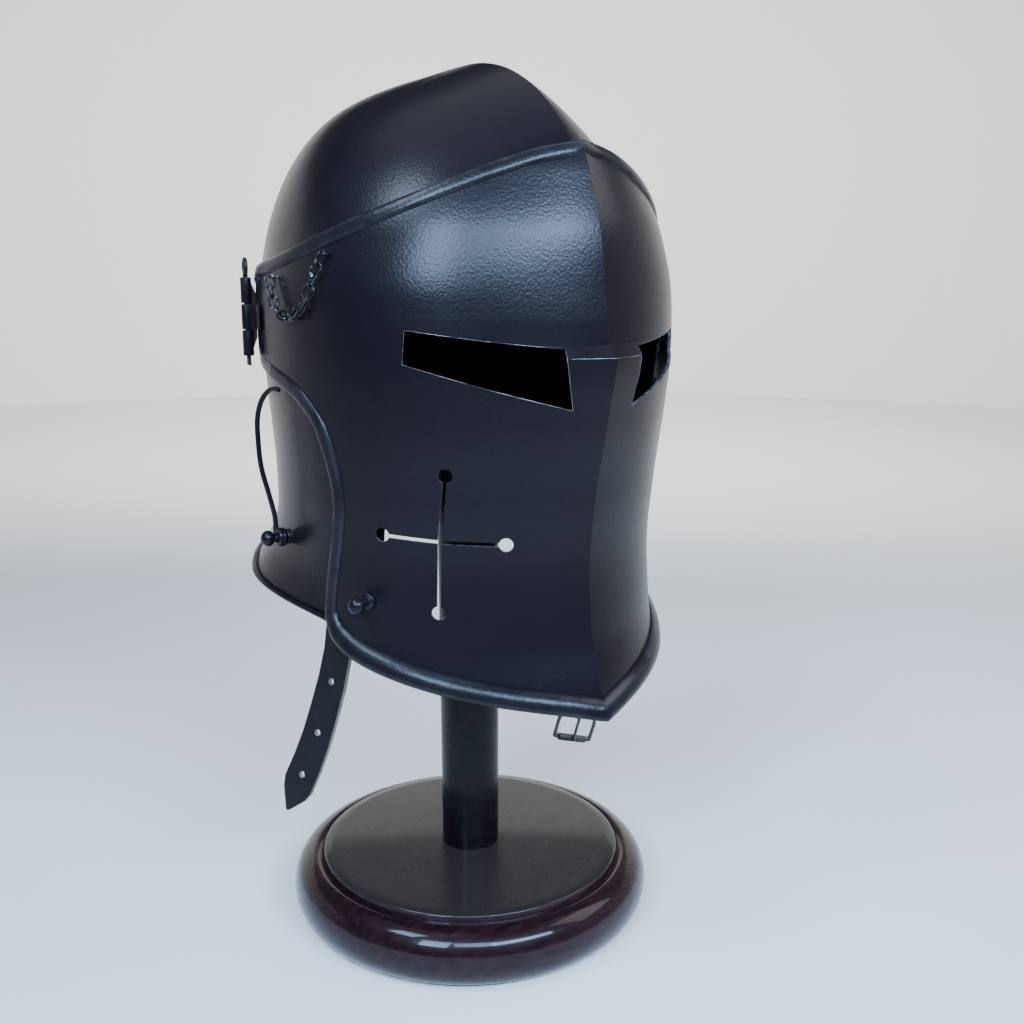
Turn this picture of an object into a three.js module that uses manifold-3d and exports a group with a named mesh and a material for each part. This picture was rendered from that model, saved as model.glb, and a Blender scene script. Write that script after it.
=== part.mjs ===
// Visored barbute helmet on a turned display stand, in millimetres with +Z up.
// The base rests on Z = 0 and the post stands on the Z axis.
// The face looks along -Y, so the wearer's right side lies towards -X.
import * as THREE from 'three';
import { mergeVertices } from 'three/addons/utils/BufferGeometryUtils.js';
import Module from 'manifold-3d';

const wasm = await Module();
wasm.setup();

// Stand
const baseRadius = 110;
const baseHeight = 38;
const discRadius = 92;
const grooveDepth = 3;
const grooveWidth = 3;
const footInset = 10;
const discEdge = 1;
const rimSteps = 7;
const postRadius = 19;
const postTaper = 1.5;
const headRadius = 36;
const headHeight = 26;
const headLift = 0.9;
const seatGap = 0.3;

// Steel shells, measured from the eye line
const eyeLine = 366;
const steel = 1.6;
const shellGap = 3.7;
const halfBreadth = 114.5;
const frontReach = 121;
const rearReach = 153;
const faceDrop = 205;
const browRise = 85;
const keelProud = 12;
const noseProud = 6.5;
const rimDrop = 143;
const rimTilt = 34;
const rimFlare = 17;
const domeRise = 124;
const combProud = 10;
const combHalfWidth = 52;
const hingeTurn = 106;

// Face opening of the skull
const openingHalfWidth = 86;
const openingTop = 30;

// Raised bands
const bandWidth = 7;
const bandProud = 1.7;
const lipWidth = 10;
const lipProud = 4.4;

// Breaths
const breathHole = 3.7;
const breathSlot = 2.1;

// Hinges and pivots
const knuckleRadius = 3;
const knuckleLength = 14.2;
const knuckleStandOff = 4.8;
const hingeLift = -1.5;
const pinRadius = 1.3;
const leafThickness = 1.2;
const hingeSetBack = 4;
const leafReach = 4.5;
const plateHalf = 5;
const plateThickness = 1.8;
const lobeRadius = 7;
const pivotBack = 24;
const pivotRadius = 2.2;
const pivotHead = 5.5;

// Studs and hook
const studBall = 4.6;
const studNeck = 2.4;
const studCollar = 4.4;
const lockReach = 18;
const catchReach = 15.5;
const hookWire = 1.5;

// Chains
const linksPerSide = 13;
const linkLength = 8.6;
const linkWidth = 5.8;
const linkWire = 0.6;
const chainStandOff = 4.2;

// Straps and buckle
const strapWidth = 20;
const strapThickness = 2.4;
const strapHole = 2.1;
const buckleWidth = 28;
const buckleHeight = 19;
const buckleWire = 1.25;
const rollerRadius = 2.35;
const tongueWire = 1;

const rad = THREE.MathUtils.degToRad;

// Smooth curve through a table's rows that never overshoots them
function between(rows, key, column, at) {
  const last = rows.length - 1;
  const slope = (i) => (rows[i + 1][column] - rows[i][column]) / (rows[i + 1][key] - rows[i][key]);
  const tangent = (i) => {
    if (i === 0) return slope(0);
    if (i === last) return slope(last - 1);
    const before = slope(i - 1);
    const after = slope(i);
    return before * after <= 0 ? 0 : (2 * before * after) / (before + after);
  };
  if (at <= rows[0][key]) return rows[0][column];
  if (at >= rows[last][key]) return rows[last][column];
  let i = 0;
  while (at > rows[i + 1][key]) i += 1;
  const step = rows[i + 1][key] - rows[i][key];
  const f = (at - rows[i][key]) / step;
  const a = 2 * f ** 3 - 3 * f ** 2 + 1;
  const b = f ** 3 - 2 * f ** 2 + f;
  const c = f ** 3 - f ** 2;
  return a * rows[i][column] + b * step * tangent(i)
    + (1 - a) * rows[i + 1][column] + c * step * tangent(i + 1);
}

// Visor sections: level is a share of faceDrop below the eye line and of browRise above it,
// and the other columns are shares of halfBreadth, frontReach, keelProud, noseProud and rearReach
const visorSections = [
  { level: -1.0, breadth: 0.968, reach: 0.966, keel: 1.04, nose: 0, rear: 0.97 },
  { level: -0.92, breadth: 0.95, reach: 0.94, keel: 1.0, nose: 0, rear: 0.96 },
  { level: -0.8, breadth: 0.932, reach: 0.896, keel: 0.88, nose: 0, rear: 0.955 },
  { level: -0.63, breadth: 0.927, reach: 0.872, keel: 0.83, nose: 0, rear: 0.955 },
  { level: -0.44, breadth: 0.948, reach: 0.905, keel: 0.79, nose: 0.12, rear: 0.965 },
  { level: -0.24, breadth: 0.978, reach: 0.963, keel: 0.71, nose: 0.55, rear: 0.98 },
  { level: -0.088, breadth: 0.996, reach: 0.992, keel: 0.67, nose: 1, rear: 0.995 },
  { level: -0.058, breadth: 0.998, reach: 0.99, keel: 0.62, nose: 0, rear: 0.998 },
  { level: 0.12, breadth: 1.0, reach: 0.976, keel: 0.62, nose: 0, rear: 1.0 },
  { level: 0.47, breadth: 0.945, reach: 0.935, keel: 0.66, nose: 0, rear: 0.965 },
  { level: 0.82, breadth: 0.82, reach: 0.86, keel: 0.66, nose: 0, rear: 0.85 },
  { level: 1.0, breadth: 0.71, reach: 0.815, keel: 0.6, nose: 0, rear: 0.76 },
];

// Half outline of the visor: at each level its edge stands at this share of hingeTurn
const visorOutline = [
  { level: -1.0, turn: 0 },
  { level: -0.974, turn: 0.108 },
  { level: -0.937, turn: 0.302 },
  { level: -0.917, turn: 0.401 },
  { level: -0.875, turn: 0.579 },
  { level: -0.849, turn: 0.655 },
  { level: -0.812, turn: 0.711 },
  { level: -0.756, turn: 0.738 },
  { level: -0.673, turn: 0.728 },
  { level: -0.561, turn: 0.702 },
  { level: -0.454, turn: 0.684 },
  { level: -0.281, turn: 0.724 },
  { level: -0.21, turn: 0.79 },
  { level: -0.175, turn: 0.87 },
  { level: -0.15, turn: 0.955 },
  { level: -0.125, turn: 1 },
  { level: 0.29, turn: 1 },
  { level: 0.36, turn: 0.88 },
  { level: 0.435, turn: 0.767 },
  { level: 0.565, turn: 0.61 },
  { level: 0.675, turn: 0.486 },
  { level: 0.781, turn: 0.368 },
  { level: 0.88, turn: 0.249 },
  { level: 0.95, turn: 0.142 },
  { level: 1.0, turn: 0 },
];

// Across half a visor the columns crowd towards the keel
const visorColumns = [0, 0.08, 0.2, 0.35, 0.52, 0.69, 0.85, 1];
const skullTurns = [0, 6, 13, 22, 34, 48, 62, 76, 90, 104, 118, 132, 145, 156, 166, 174, 180];

// Skull wall: level is a share of the way down to the rim, flare a share of rimFlare
const skullWall = [
  { level: -1, flare: 1 },
  { level: -0.95, flare: 0.8 },
  { level: -0.86, flare: 0.35 },
  { level: -0.72, flare: 0.08 },
  { level: -0.5, flare: 0 },
  { level: -0.25, flare: 0 },
  { level: 0, flare: 0 },
];
const domeRings = 9;
// Dome fullness over the brow and at the back, and how far the brow draws in beside the comb
const domeBrow = 0.94;
const domeBack = 0.62;
const browPinch = 0.35;

const heightAt = (level) => level * (level < 0 ? faceDrop : browRise);
const levelAt = (height) => height / (height < 0 ? faceDrop : browRise);

// A point of the visor's outer face; turn is in degrees from the face, positive to the wearer's right
function visorFace(turn, height) {
  const level = levelAt(height);
  const share = (column) => between(visorSections, 'level', column, level);
  const sine = Math.sin(rad(turn));
  const cosine = Math.cos(rad(turn));
  const ridge = keelProud * share('keel') * (1 - Math.abs(sine)) ** 2
    + noseProud * share('nose') * (1 - Math.abs(sine)) ** 3;
  const forward = cosine >= 0
    ? frontReach * share('reach') * cosine + ridge
    : rearReach * share('rear') * cosine;
  return new THREE.Vector3(-halfBreadth * share('breadth') * sine, -forward, height + eyeLine);
}

// The skull lies inside the visor's form at every height
const skullInset = steel + shellGap;
function skullSizes(height) {
  const share = (column) => between(visorSections, 'level', column, levelAt(height));
  return {
    breadth: halfBreadth * share('breadth') - skullInset,
    reach: frontReach * share('reach') - skullInset,
    rear: rearReach * share('rear') - skullInset,
  };
}
const girdle = skullSizes(0);

// A point of the skull's outer face; level runs from -1 at the rim over 0 to 1 at the crown
function skullFace(turn, level) {
  const sine = Math.sin(rad(turn));
  const cosine = Math.cos(rad(turn));
  if (level <= 0) {
    const height = level * (rimDrop + rimTilt * (1 + cosine) / 2);
    const sizes = skullSizes(height);
    const behind = THREE.MathUtils.smoothstep(Math.abs(turn), 78, 118);
    const grow = rimFlare * behind * between(skullWall, 'level', 'flare', level);
    const long = (cosine >= 0 ? sizes.reach : sizes.rear) + grow;
    return new THREE.Vector3(-(sizes.breadth + grow) * sine, -long * cosine, eyeLine + height);
  }
  const rise = level * Math.PI / 2;
  const spread = Math.cos(rise) ** (cosine >= 0 ? domeBrow : domeBack + (domeBrow - domeBack) * (1 + cosine) ** 2);
  const long = cosine >= 0 ? girdle.reach : girdle.rear;
  const pinch = 1 - browPinch * level * Math.max(0, cosine);
  const x = -girdle.breadth * spread * pinch * sine;
  const y = -long * spread * cosine;
  const across = Math.max(0, 1 - Math.abs(x) / combHalfWidth);
  const fade = THREE.MathUtils.smoothstep(level, 0.08, 0.45);
  const ridge = combProud * fade * across ** 2;
  const out = new THREE.Vector3(0, y / long, Math.sin(rise)).normalize();
  return new THREE.Vector3(x, y, eyeLine + domeRise * Math.sin(rise)).addScaledVector(out, ridge);
}

// The outward normal of a face given as a function of two numbers
function normalOf(face, u, v, stepU, stepV) {
  const alongU = face(u + stepU, v).sub(face(u - stepU, v));
  const alongV = face(u, v + stepV).sub(face(u, v - stepV));
  const normal = alongU.cross(alongV).normalize();
  const point = face(u, v);
  const outward = new THREE.Vector3(point.x, point.y, Math.max(0, point.z - eyeLine));
  return normal.dot(outward) < 0 ? normal.negate() : normal;
}
const visorNormal = (turn, height) => normalOf(visorFace, turn, height, 0.5, 1);
const visorPoint = (turn, height, out) =>
  visorFace(turn, height).addScaledVector(visorNormal(turn, height), out);
const skullNormal = (turn, level) => (level > 0.995
  ? new THREE.Vector3(0, 0, 1)
  : normalOf(skullFace, turn, level, 0.5, 0.004));
const skullPoint = (turn, level, out) =>
  skullFace(turn, level).addScaledVector(skullNormal(turn, level), out);

// Solid geometry: welding, closing and boolean joins
function welded(geometry) {
  const bare = geometry.clone();
  bare.deleteAttribute('normal');
  bare.deleteAttribute('uv');
  const merged = mergeVertices(bare, 1e-4);
  const faces = [];
  const index = merged.index.array;
  for (let i = 0; i < index.length; i += 3) {
    const [a, b, c] = [index[i], index[i + 1], index[i + 2]];
    if (a !== b && b !== c && c !== a) faces.push(a, b, c);
  }
  merged.setIndex(faces);
  return merged;
}

function solidOf(geometry) {
  const mesh = welded(geometry);
  const vertProperties = new Float32Array(mesh.attributes.position.array);
  const triVerts = new Uint32Array(mesh.index.array);
  const make = () => new wasm.Manifold(new wasm.Mesh({ numProp: 3, vertProperties, triVerts }));
  const solid = make();
  if (solid.volume() > 0) return solid;
  for (let i = 0; i < triVerts.length; i += 3) {
    [triVerts[i + 1], triVerts[i + 2]] = [triVerts[i + 2], triVerts[i + 1]];
  }
  return make();
}

function geometryOf(solid) {
  const mesh = solid.getMesh();
  const geometry = new THREE.BufferGeometry();
  geometry.setAttribute('position', new THREE.BufferAttribute(new Float32Array(mesh.vertProperties), 3));
  geometry.setIndex(new THREE.BufferAttribute(new Uint32Array(mesh.triVerts), 1));
  geometry.computeVertexNormals();
  return geometry;
}

const joined = (solids) => solids.reduce((whole, solid) => whole.add(solid));
// Fills the slivers of air that a join closes in: the outer skin alone is kept
const filled = (solid) => solid.decompose().reduce((a, b) => (b.volume() > a.volume() ? b : a));
const placed = (geometry, matrix) => geometry.clone().applyMatrix4(matrix);

// A matrix whose local X, Y and Z lie along the given directions
const frameAt = (point, x, y, z) => new THREE.Matrix4().makeBasis(x, y, z).setPosition(point);

// Triangles from quads of points
class Skin {
  constructor() {
    this.numbers = [];
  }

  quad(a, b, c, d) {
    for (const p of [a, b, c, a, c, d]) this.numbers.push(p.x, p.y, p.z);
  }

  sheet(rows, wrap) {
    for (let r = 0; r + 1 < rows.length; r += 1) {
      const count = rows[r].length;
      for (let c = 0; c + 1 < count + (wrap ? 1 : 0); c += 1) {
        const d = (c + 1) % count;
        this.quad(rows[r][c], rows[r][d], rows[r + 1][d], rows[r + 1][c]);
      }
    }
  }

  geometry() {
    const made = new THREE.BufferGeometry();
    made.setAttribute('position', new THREE.Float32BufferAttribute(this.numbers, 3));
    return made;
  }
}

// A wall between two open sheets of the same rows and columns
function wallBetween(outer, inner, wrap) {
  const skin = new Skin();
  const back = inner.map((row) => [...row].reverse());
  skin.sheet(outer, wrap);
  skin.sheet(back, wrap);
  const last = outer.length - 1;
  skin.sheet([inner[0], outer[0]], wrap);
  skin.sheet([outer[last], inner[last]], wrap);
  if (!wrap) {
    const end = outer[0].length - 1;
    skin.sheet([outer.map((row) => row[0]), inner.map((row) => row[0])], false);
    skin.sheet([inner.map((row) => row[end]), outer.map((row) => row[end])], false);
  }
  return skin.geometry();
}

// A solid through rings of equal count, closed on itself or capped at both ends
function ringLoft(rings, closed) {
  const skin = new Skin();
  skin.sheet(closed ? [...rings, rings[0]] : rings, true);
  if (!closed) {
    for (const [ring, turned] of [[rings[0], true], [rings[rings.length - 1], false]]) {
      const middle = ring.reduce((sum, p) => sum.add(p), new THREE.Vector3()).divideScalar(ring.length);
      for (let i = 0; i < ring.length; i += 1) {
        const [a, b] = [ring[i], ring[(i + 1) % ring.length]];
        const face = turned ? [middle, b, a] : [middle, a, b];
        for (const p of face) skin.numbers.push(p.x, p.y, p.z);
      }
    }
  }
  return skin.geometry();
}

// A round wire along points
function wire(points, radius, sides, steps) {
  const section = new THREE.Shape();
  for (let i = 0; i < sides; i += 1) {
    const angle = (i / sides) * Math.PI * 2;
    const [x, y] = [radius * Math.cos(angle), radius * Math.sin(angle)];
    if (i === 0) section.moveTo(x, y);
    else section.lineTo(x, y);
  }
  section.closePath();
  const extrudePath = new THREE.CatmullRomCurve3(points, false, 'centripetal');
  return new THREE.ExtrudeGeometry(section, { steps, bevelEnabled: false, extrudePath });
}

// A turned solid from a profile of { radius, height } rows
function turned(rows, sides) {
  const points = rows.map((row) => new THREE.Vector2(row.radius, row.height));
  const shape = new THREE.LatheGeometry(points, sides);
  return shape.rotateX(Math.PI / 2);
}

// A flat outline given a thickness along local Z
function slab(outline, depth) {
  const shape = new THREE.Shape(outline.map(([x, y]) => new THREE.Vector2(x, y)));
  return new THREE.ExtrudeGeometry(shape, { depth, bevelEnabled: false });
}

// Finishes
const finish = (color, roughness, metalness) =>
  new THREE.MeshStandardMaterial({ color, roughness, metalness });
const blackSteel = () => finish(0x14161b, 0.38, 0.6);
const brightSteel = () => finish(0x55585c, 0.35, 0.9);
const lacquer = () => finish(0x1c0b0d, 0.12, 0);
const blackWood = () => finish(0x08080a, 0.15, 0);
const leather = () => finish(0x0d0d0f, 0.6, 0);

const group = new THREE.Group();
function add(name, geometry, material) {
  const mesh = new THREE.Mesh(geometry, material);
  mesh.name = name;
  group.add(mesh);
}
const sides = [{ side: 'right', sign: 1 }, { side: 'left', sign: -1 }];

// Stand base
function standBase() {
  const rimTop = baseHeight - grooveDepth;
  const rim = baseRadius - discRadius - grooveWidth;
  const profile = [{ radius: 0, height: 0 }, { radius: baseRadius - footInset, height: 0 }];
  for (let i = 1; i < rimSteps; i += 1) {
    const angle = -Math.PI / 2 + (i / rimSteps) * Math.PI;
    profile.push({
      radius: baseRadius - rim + discEdge + (rim - discEdge) * Math.cos(angle),
      height: rimTop / 2 + (rimTop / 2) * Math.sin(angle),
    });
  }
  profile.push({ radius: discRadius + grooveWidth - discEdge, height: rimTop - grooveDepth / 2 });
  profile.push({ radius: discRadius, height: rimTop - grooveDepth / 2 });
  profile.push({ radius: discRadius, height: baseHeight - discEdge });
  profile.push({ radius: discRadius - discEdge, height: baseHeight });
  profile.push({ radius: 0, height: baseHeight });
  return turned(profile, 30);
}
add('stand_base', standBase(), lacquer());

// Stand post with the round head that carries the skull
function standPost() {
  const top = eyeLine + domeRise - steel + headLift;
  return turned([
    { radius: 0, height: baseHeight },
    { radius: postRadius - postTaper, height: baseHeight },
    { radius: postRadius, height: top - headHeight - 6 },
    { radius: headRadius * 0.8, height: top - headHeight },
    { radius: headRadius, height: top - headHeight * 0.72 },
    { radius: headRadius * 0.93, height: top - headHeight * 0.42 },
    { radius: headRadius * 0.7, height: top - headHeight * 0.18 },
    { radius: headRadius * 0.36, height: top - headHeight * 0.04 },
    { radius: 0, height: top },
  ], 20);
}
add('stand_post', standPost(), blackWood());

// Both halves of a list of turns, from the wearer's left round the face to the right
const mirrored = (half) => [...half.slice(1).reverse().map((value) => -value), ...half];

// Visor shell: rows at every level of both tables
function visorShell() {
  const edges = visorOutline.map((row) => row.level);
  const inner = visorSections.map((row) => row.level)
    .filter((level) => edges.every((edge) => Math.abs(edge - level) > 0.04));
  const levels = [...edges, ...inner].sort((a, b) => a - b);
  const columns = mirrored(visorColumns);
  const sheet = (out) => levels.map((level) => {
    const edge = hingeTurn * between(visorOutline, 'level', 'turn', level);
    return columns.map((column) => visorPoint(column * edge, heightAt(level), out));
  });
  return solidOf(wallBetween(sheet(0), sheet(-steel), false));
}

// The visor's edge as a closed loop of { turn, height }, down the right and up the left
function visorEdge() {
  const right = [...visorOutline].reverse().map((row) => ({
    turn: hingeTurn * row.turn, height: heightAt(row.level), level: row.level,
  }));
  const left = right.slice(1, -1).reverse().map((row) => ({ ...row, turn: -row.turn }));
  return [...right, ...left];
}

// Band section across the edge: out is a share of the width, up a share of the height
const bandSection = [
  { out: 0.06, up: 0 },
  { out: 0.06, up: 0.62 },
  { out: -0.22, up: 1 },
  { out: -0.68, up: 0.86 },
  { out: -1, up: 0.12 },
  { out: -1, up: 0 },
];

// The lip grows over the lower edge, and the band dies away behind the hinge
function bandShares(level, turn) {
  const lip = 1 - THREE.MathUtils.smoothstep(level, -0.88, -0.72);
  const behind = Math.abs(turn) > hingeTurn * 0.93 && level < 0.2;
  return { lip, rise: behind ? 0.12 : 1 };
}

function visorBand() {
  const edge = visorEdge();
  const rings = edge.map((here, i) => {
    const next = edge[(i + 1) % edge.length];
    const before = edge[(i + edge.length - 1) % edge.length];
    const point = visorFace(here.turn, here.height);
    const normal = visorNormal(here.turn, here.height);
    const along = visorFace(next.turn, next.height).sub(visorFace(before.turn, before.height)).normalize();
    const outward = along.clone().cross(normal).normalize();
    const middle = visorFace(here.turn * 0.85, here.height * 0.85);
    if (outward.dot(point.clone().sub(middle)) < 0) outward.negate();
    const { lip, rise } = bandShares(here.level, here.turn);
    const width = bandWidth + (lipWidth - bandWidth) * lip;
    const proud = (bandProud + (lipProud - bandProud) * lip) * rise;
    return bandSection.map(({ out, up }) => point.clone()
      .addScaledVector(outward, out * width + lip * 1.5 * up)
      .addScaledVector(normal, up > 0 ? up * proud : -steel * 0.7));
  });
  return solidOf(ringLoft(rings, true));
}

// A cutter through the visor along its normal direction at one turn
function breachAt(turn, height, outlines) {
  const z = new THREE.Vector3(-Math.sin(rad(turn)), -Math.cos(rad(turn)), 0);
  const y = new THREE.Vector3(0, 0, 1);
  const x = y.clone().cross(z);
  const matrix = frameAt(new THREE.Vector3(0, 0, height + eyeLine), x, y, z);
  matrix.multiply(new THREE.Matrix4().makeTranslation(0, 0, halfBreadth * 0.45));
  return joined(outlines.map((outline) => solidOf(placed(slab(outline, halfBreadth), matrix))));
}

// Where a surface point falls in the flat frame of that cutter
function flatten(turn, height, spot) {
  const point = visorFace(spot.turn, spot.height);
  const x = -point.x * Math.cos(rad(turn)) + point.y * Math.sin(rad(turn));
  return [x * -1, point.z - eyeLine - height];
}

// Eye slit corners in degrees from the face and millimetres from the eye line
const slitTurn = 28;
const slit = [
  { turn: 49, height: -4.5 },
  { turn: 30, height: -9.5 },
  { turn: 11.5, height: -13.5 },
  { turn: 9.5, height: -43.5 },
  { turn: 28, height: -33.5 },
  { turn: 50, height: -21 },
];

// Breaths: the cross meets here and ends in four round holes
const crossTurn = 40.5;
const crossHeight = -110.5;
const crossEnds = [
  { turn: 39.5, height: -76 },
  { turn: 41.5, height: -148 },
  { turn: 57, height: -108.5 },
  { turn: 23.5, height: -112 },
];

function disc(x, y, radius, count) {
  return Array.from({ length: count }, (_, i) => {
    const angle = ((i + 0.5) / count) * Math.PI * 2;
    return [x + radius * Math.cos(angle), y + radius * Math.sin(angle)];
  });
}

function slotTo(x, y, width) {
  const length = Math.hypot(x, y);
  const [a, b] = [(-y / length) * width / 2, (x / length) * width / 2];
  const [p, q] = [(-x / length) * width / 2, (-y / length) * width / 2];
  return [[a + p, b + q], [-a + p, -b + q], [x - a, y - b], [x + a, y + b]];
}

function eyeSlit(sign) {
  const outline = slit.map((spot) => flatten(slitTurn, 0, spot));
  return breachAt(sign * slitTurn, 0, [outline.map(([x, y]) => [sign * x, y])]);
}

// The cross of breaths is cut on the wearer's right cheek alone
function breathCross() {
  const ends = crossEnds.map((spot) => flatten(crossTurn, crossHeight, spot));
  return breachAt(crossTurn, crossHeight, [
    ...ends.map(([x, y]) => disc(x, y, breathHole, 12)),
    ...ends.map(([x, y]) => slotTo(x, y, breathSlot)),
  ]);
}

const visorSolid = filled(visorShell().add(visorBand())
  .subtract(eyeSlit(1)).subtract(eyeSlit(-1)).subtract(breathCross()));

// Skull shell: wall rows up to the eye line, then rings over the dome
function skullShell() {
  const levels = skullWall.map((row) => row.level);
  for (let i = 1; i <= domeRings; i += 1) levels.push(i / domeRings);
  const turns = mirrored(skullTurns).slice(1);
  const sheet = (out) => levels.map((level) => turns.map((turn) => skullPoint(turn, level, out)));
  const skin = new Skin();
  const outer = sheet(0);
  const inner = sheet(-steel);
  skin.sheet(outer, true);
  skin.sheet(inner.map((row) => [...row].reverse()), true);
  skin.sheet([inner[0], outer[0]], true);
  return solidOf(skin.geometry());
}

// The skull's face opening is a plain arch under the visor
function faceOpening() {
  const shape = new THREE.Shape();
  const arch = openingHalfWidth * 0.55;
  const spring = eyeLine + openingTop - arch;
  const foot = eyeLine - faceDrop - arch;
  shape.moveTo(-openingHalfWidth, foot);
  shape.lineTo(openingHalfWidth, foot);
  shape.lineTo(openingHalfWidth, spring);
  shape.bezierCurveTo(openingHalfWidth, spring + arch * 0.7, openingHalfWidth * 0.6, spring + arch,
    0, spring + arch);
  shape.bezierCurveTo(-openingHalfWidth * 0.6, spring + arch, -openingHalfWidth, spring + arch * 0.7,
    -openingHalfWidth, spring);
  const prism = new THREE.ExtrudeGeometry(shape, { depth: 2 * frontReach, bevelEnabled: false, curveSegments: 6 });
  return solidOf(prism.rotateX(Math.PI / 2));
}

// Where the hinge and its pivot stand on one side
function hingeFrame(sign) {
  const turn = sign * hingeTurn;
  const out = visorNormal(turn, hingeLift).setZ(0).normalize();
  const rearward = new THREE.Vector3(-sign * out.y, sign * out.x, 0);
  if (rearward.y < 0) rearward.negate();
  const foot = visorFace(turn, hingeLift);
  const barrel = foot.clone().addScaledVector(out, knuckleStandOff).addScaledVector(rearward, hingeSetBack);
  return { out, rearward, foot, barrel };
}

const upright = (point, up) => new THREE.Matrix4().makeTranslation(point.x, point.y, point.z + up);
const rod = (radius, length, count) => new THREE.CylinderGeometry(radius, radius, length, count)
  .rotateX(Math.PI / 2);

// The pivot is one straight line across the helmet
const rightHinge = hingeFrame(1);
const pivotY = rightHinge.barrel.y + pivotBack;
const pivotZ = eyeLine + hingeLift;
const skullHalfAt = (y) => girdle.breadth * Math.sqrt(Math.max(0, 1 - (y / girdle.rear) ** 2));
const lobeInner = skullHalfAt(pivotY - 2 * lobeRadius) + 2 * seatGap;

// Plan outline of a plate that bends through points, seen from above on the wearer's right
function bentStrip(points, thickness) {
  const offset = (i, side) => {
    const a = points[Math.max(0, i - 1)];
    const b = points[Math.min(points.length - 1, i + 1)];
    const length = Math.hypot(b[0] - a[0], b[1] - a[1]);
    const [nx, ny] = [-(b[1] - a[1]) / length, (b[0] - a[0]) / length];
    return [points[i][0] + side * nx * thickness / 2, points[i][1] + side * ny * thickness / 2];
  };
  const near = points.map((_, i) => offset(i, 1));
  const far = points.map((_, i) => offset(i, -1)).reverse();
  return [...near, ...far];
}

const mirrorX = (geometry, sign) => geometry.clone().scale(sign, 1, 1);

const barrelHalf = knuckleLength * 1.5;
function hingePlate() {
  const { barrel, rearward } = rightHinge;
  const lobeX = -(lobeInner + plateThickness / 2);
  const start = [barrel.x + rearward.x * 1.5, barrel.y + rearward.y * 1.5];
  const path = [
    start,
    [barrel.x * 0.45 + lobeX * 0.55, barrel.y + pivotBack * 0.42],
    [lobeX, pivotY - lobeRadius],
    [lobeX, pivotY + lobeRadius],
  ];
  const strip = solidOf(slab(bentStrip(path, plateThickness), barrelHalf * 2)
    .translate(0, 0, pivotZ - barrelHalf));
  const side = [
    [barrel.y - plateHalf, pivotZ - barrelHalf], [barrel.y + plateHalf, pivotZ - barrelHalf],
    ...Array.from({ length: 9 }, (_, i) => {
      const angle = -Math.PI / 2 + (i / 8) * Math.PI;
      return [pivotY + lobeRadius * Math.cos(angle), pivotZ + lobeRadius * Math.sin(angle)];
    }),
    [barrel.y + plateHalf, pivotZ + barrelHalf], [barrel.y - plateHalf, pivotZ + barrelHalf],
  ];
  const outline = solidOf(placed(slab(side, halfBreadth), new THREE.Matrix4().makeBasis(
    new THREE.Vector3(0, 1, 0), new THREE.Vector3(0, 0, 1), new THREE.Vector3(1, 0, 0),
  ).setPosition(-halfBreadth - 30, 0, 0)));
  const outerKnuckle = (up) => solidOf(placed(rod(knuckleRadius, knuckleLength, 12), upright(barrel, up)));
  const middleGap = solidOf(placed(rod(knuckleRadius + 2.2, knuckleLength + 2 * seatGap, 14),
    upright(barrel, 0)));
  const bore = solidOf(placed(rod(pinRadius + seatGap, barrelHalf * 2 + 2, 10), upright(barrel, 0)));
  const eye = solidOf(new THREE.CylinderGeometry(pivotRadius + seatGap, pivotRadius + seatGap, 60, 12)
    .rotateZ(Math.PI / 2).translate(lobeX, pivotY, pivotZ));
  return strip.intersect(outline)
    .add(outerKnuckle(knuckleLength)).add(outerKnuckle(-knuckleLength))
    .subtract(middleGap).subtract(bore).subtract(eye);
}

function hingeLeaf() {
  const { barrel, out, rearward, foot } = rightHinge;
  const lift = seatGap + leafThickness / 2;
  const tip = visorFace(hingeTurn - leafReach, hingeLift).addScaledVector(out, lift + 0.5);
  const bend = foot.clone().addScaledVector(out, lift + 0.2).addScaledVector(rearward, -1);
  const path = [
    [barrel.x, barrel.y], [bend.x, bend.y], [tip.x, tip.y],
  ];
  const height = knuckleLength - 2 * seatGap;
  const strip = solidOf(slab(bentStrip(path, leafThickness), height).translate(0, 0, pivotZ - height / 2));
  const knuckle = solidOf(placed(rod(knuckleRadius, height, 14), upright(barrel, 0)));
  const bore = solidOf(placed(rod(pinRadius + seatGap, height + 2, 10), upright(barrel, 0)));
  return strip.add(knuckle).subtract(bore);
}

// Cotter pin: a straight shank, an eye on top and two spread ends
function hingePin() {
  const { barrel, rearward } = rightHinge;
  const up = barrelHalf + seatGap + 0.4;
  const at = (along, z) => new THREE.Vector3(barrel.x, barrel.y, pivotZ + z)
    .addScaledVector(rearward, along);
  const shank = solidOf(placed(rod(pinRadius, 2 * up + 2, 8), upright(barrel, 0)));
  const ring = new THREE.TorusGeometry(3.3, pinRadius, 5, 10).scale(1, 1.25, 1);
  const eye = solidOf(placed(ring, frameAt(at(0, up + 5), rearward, new THREE.Vector3(0, 0, 1),
    rearward.clone().cross(new THREE.Vector3(0, 0, 1)))));
  const end = (way) => solidOf(wire([at(0, -up + 1), at(way * 0.6, -up - 1), at(way * 3.4, -up - 4.6)],
    pinRadius * 0.75, 5, 3));
  return shank.add(eye).add(end(1)).add(end(-1));
}

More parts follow.
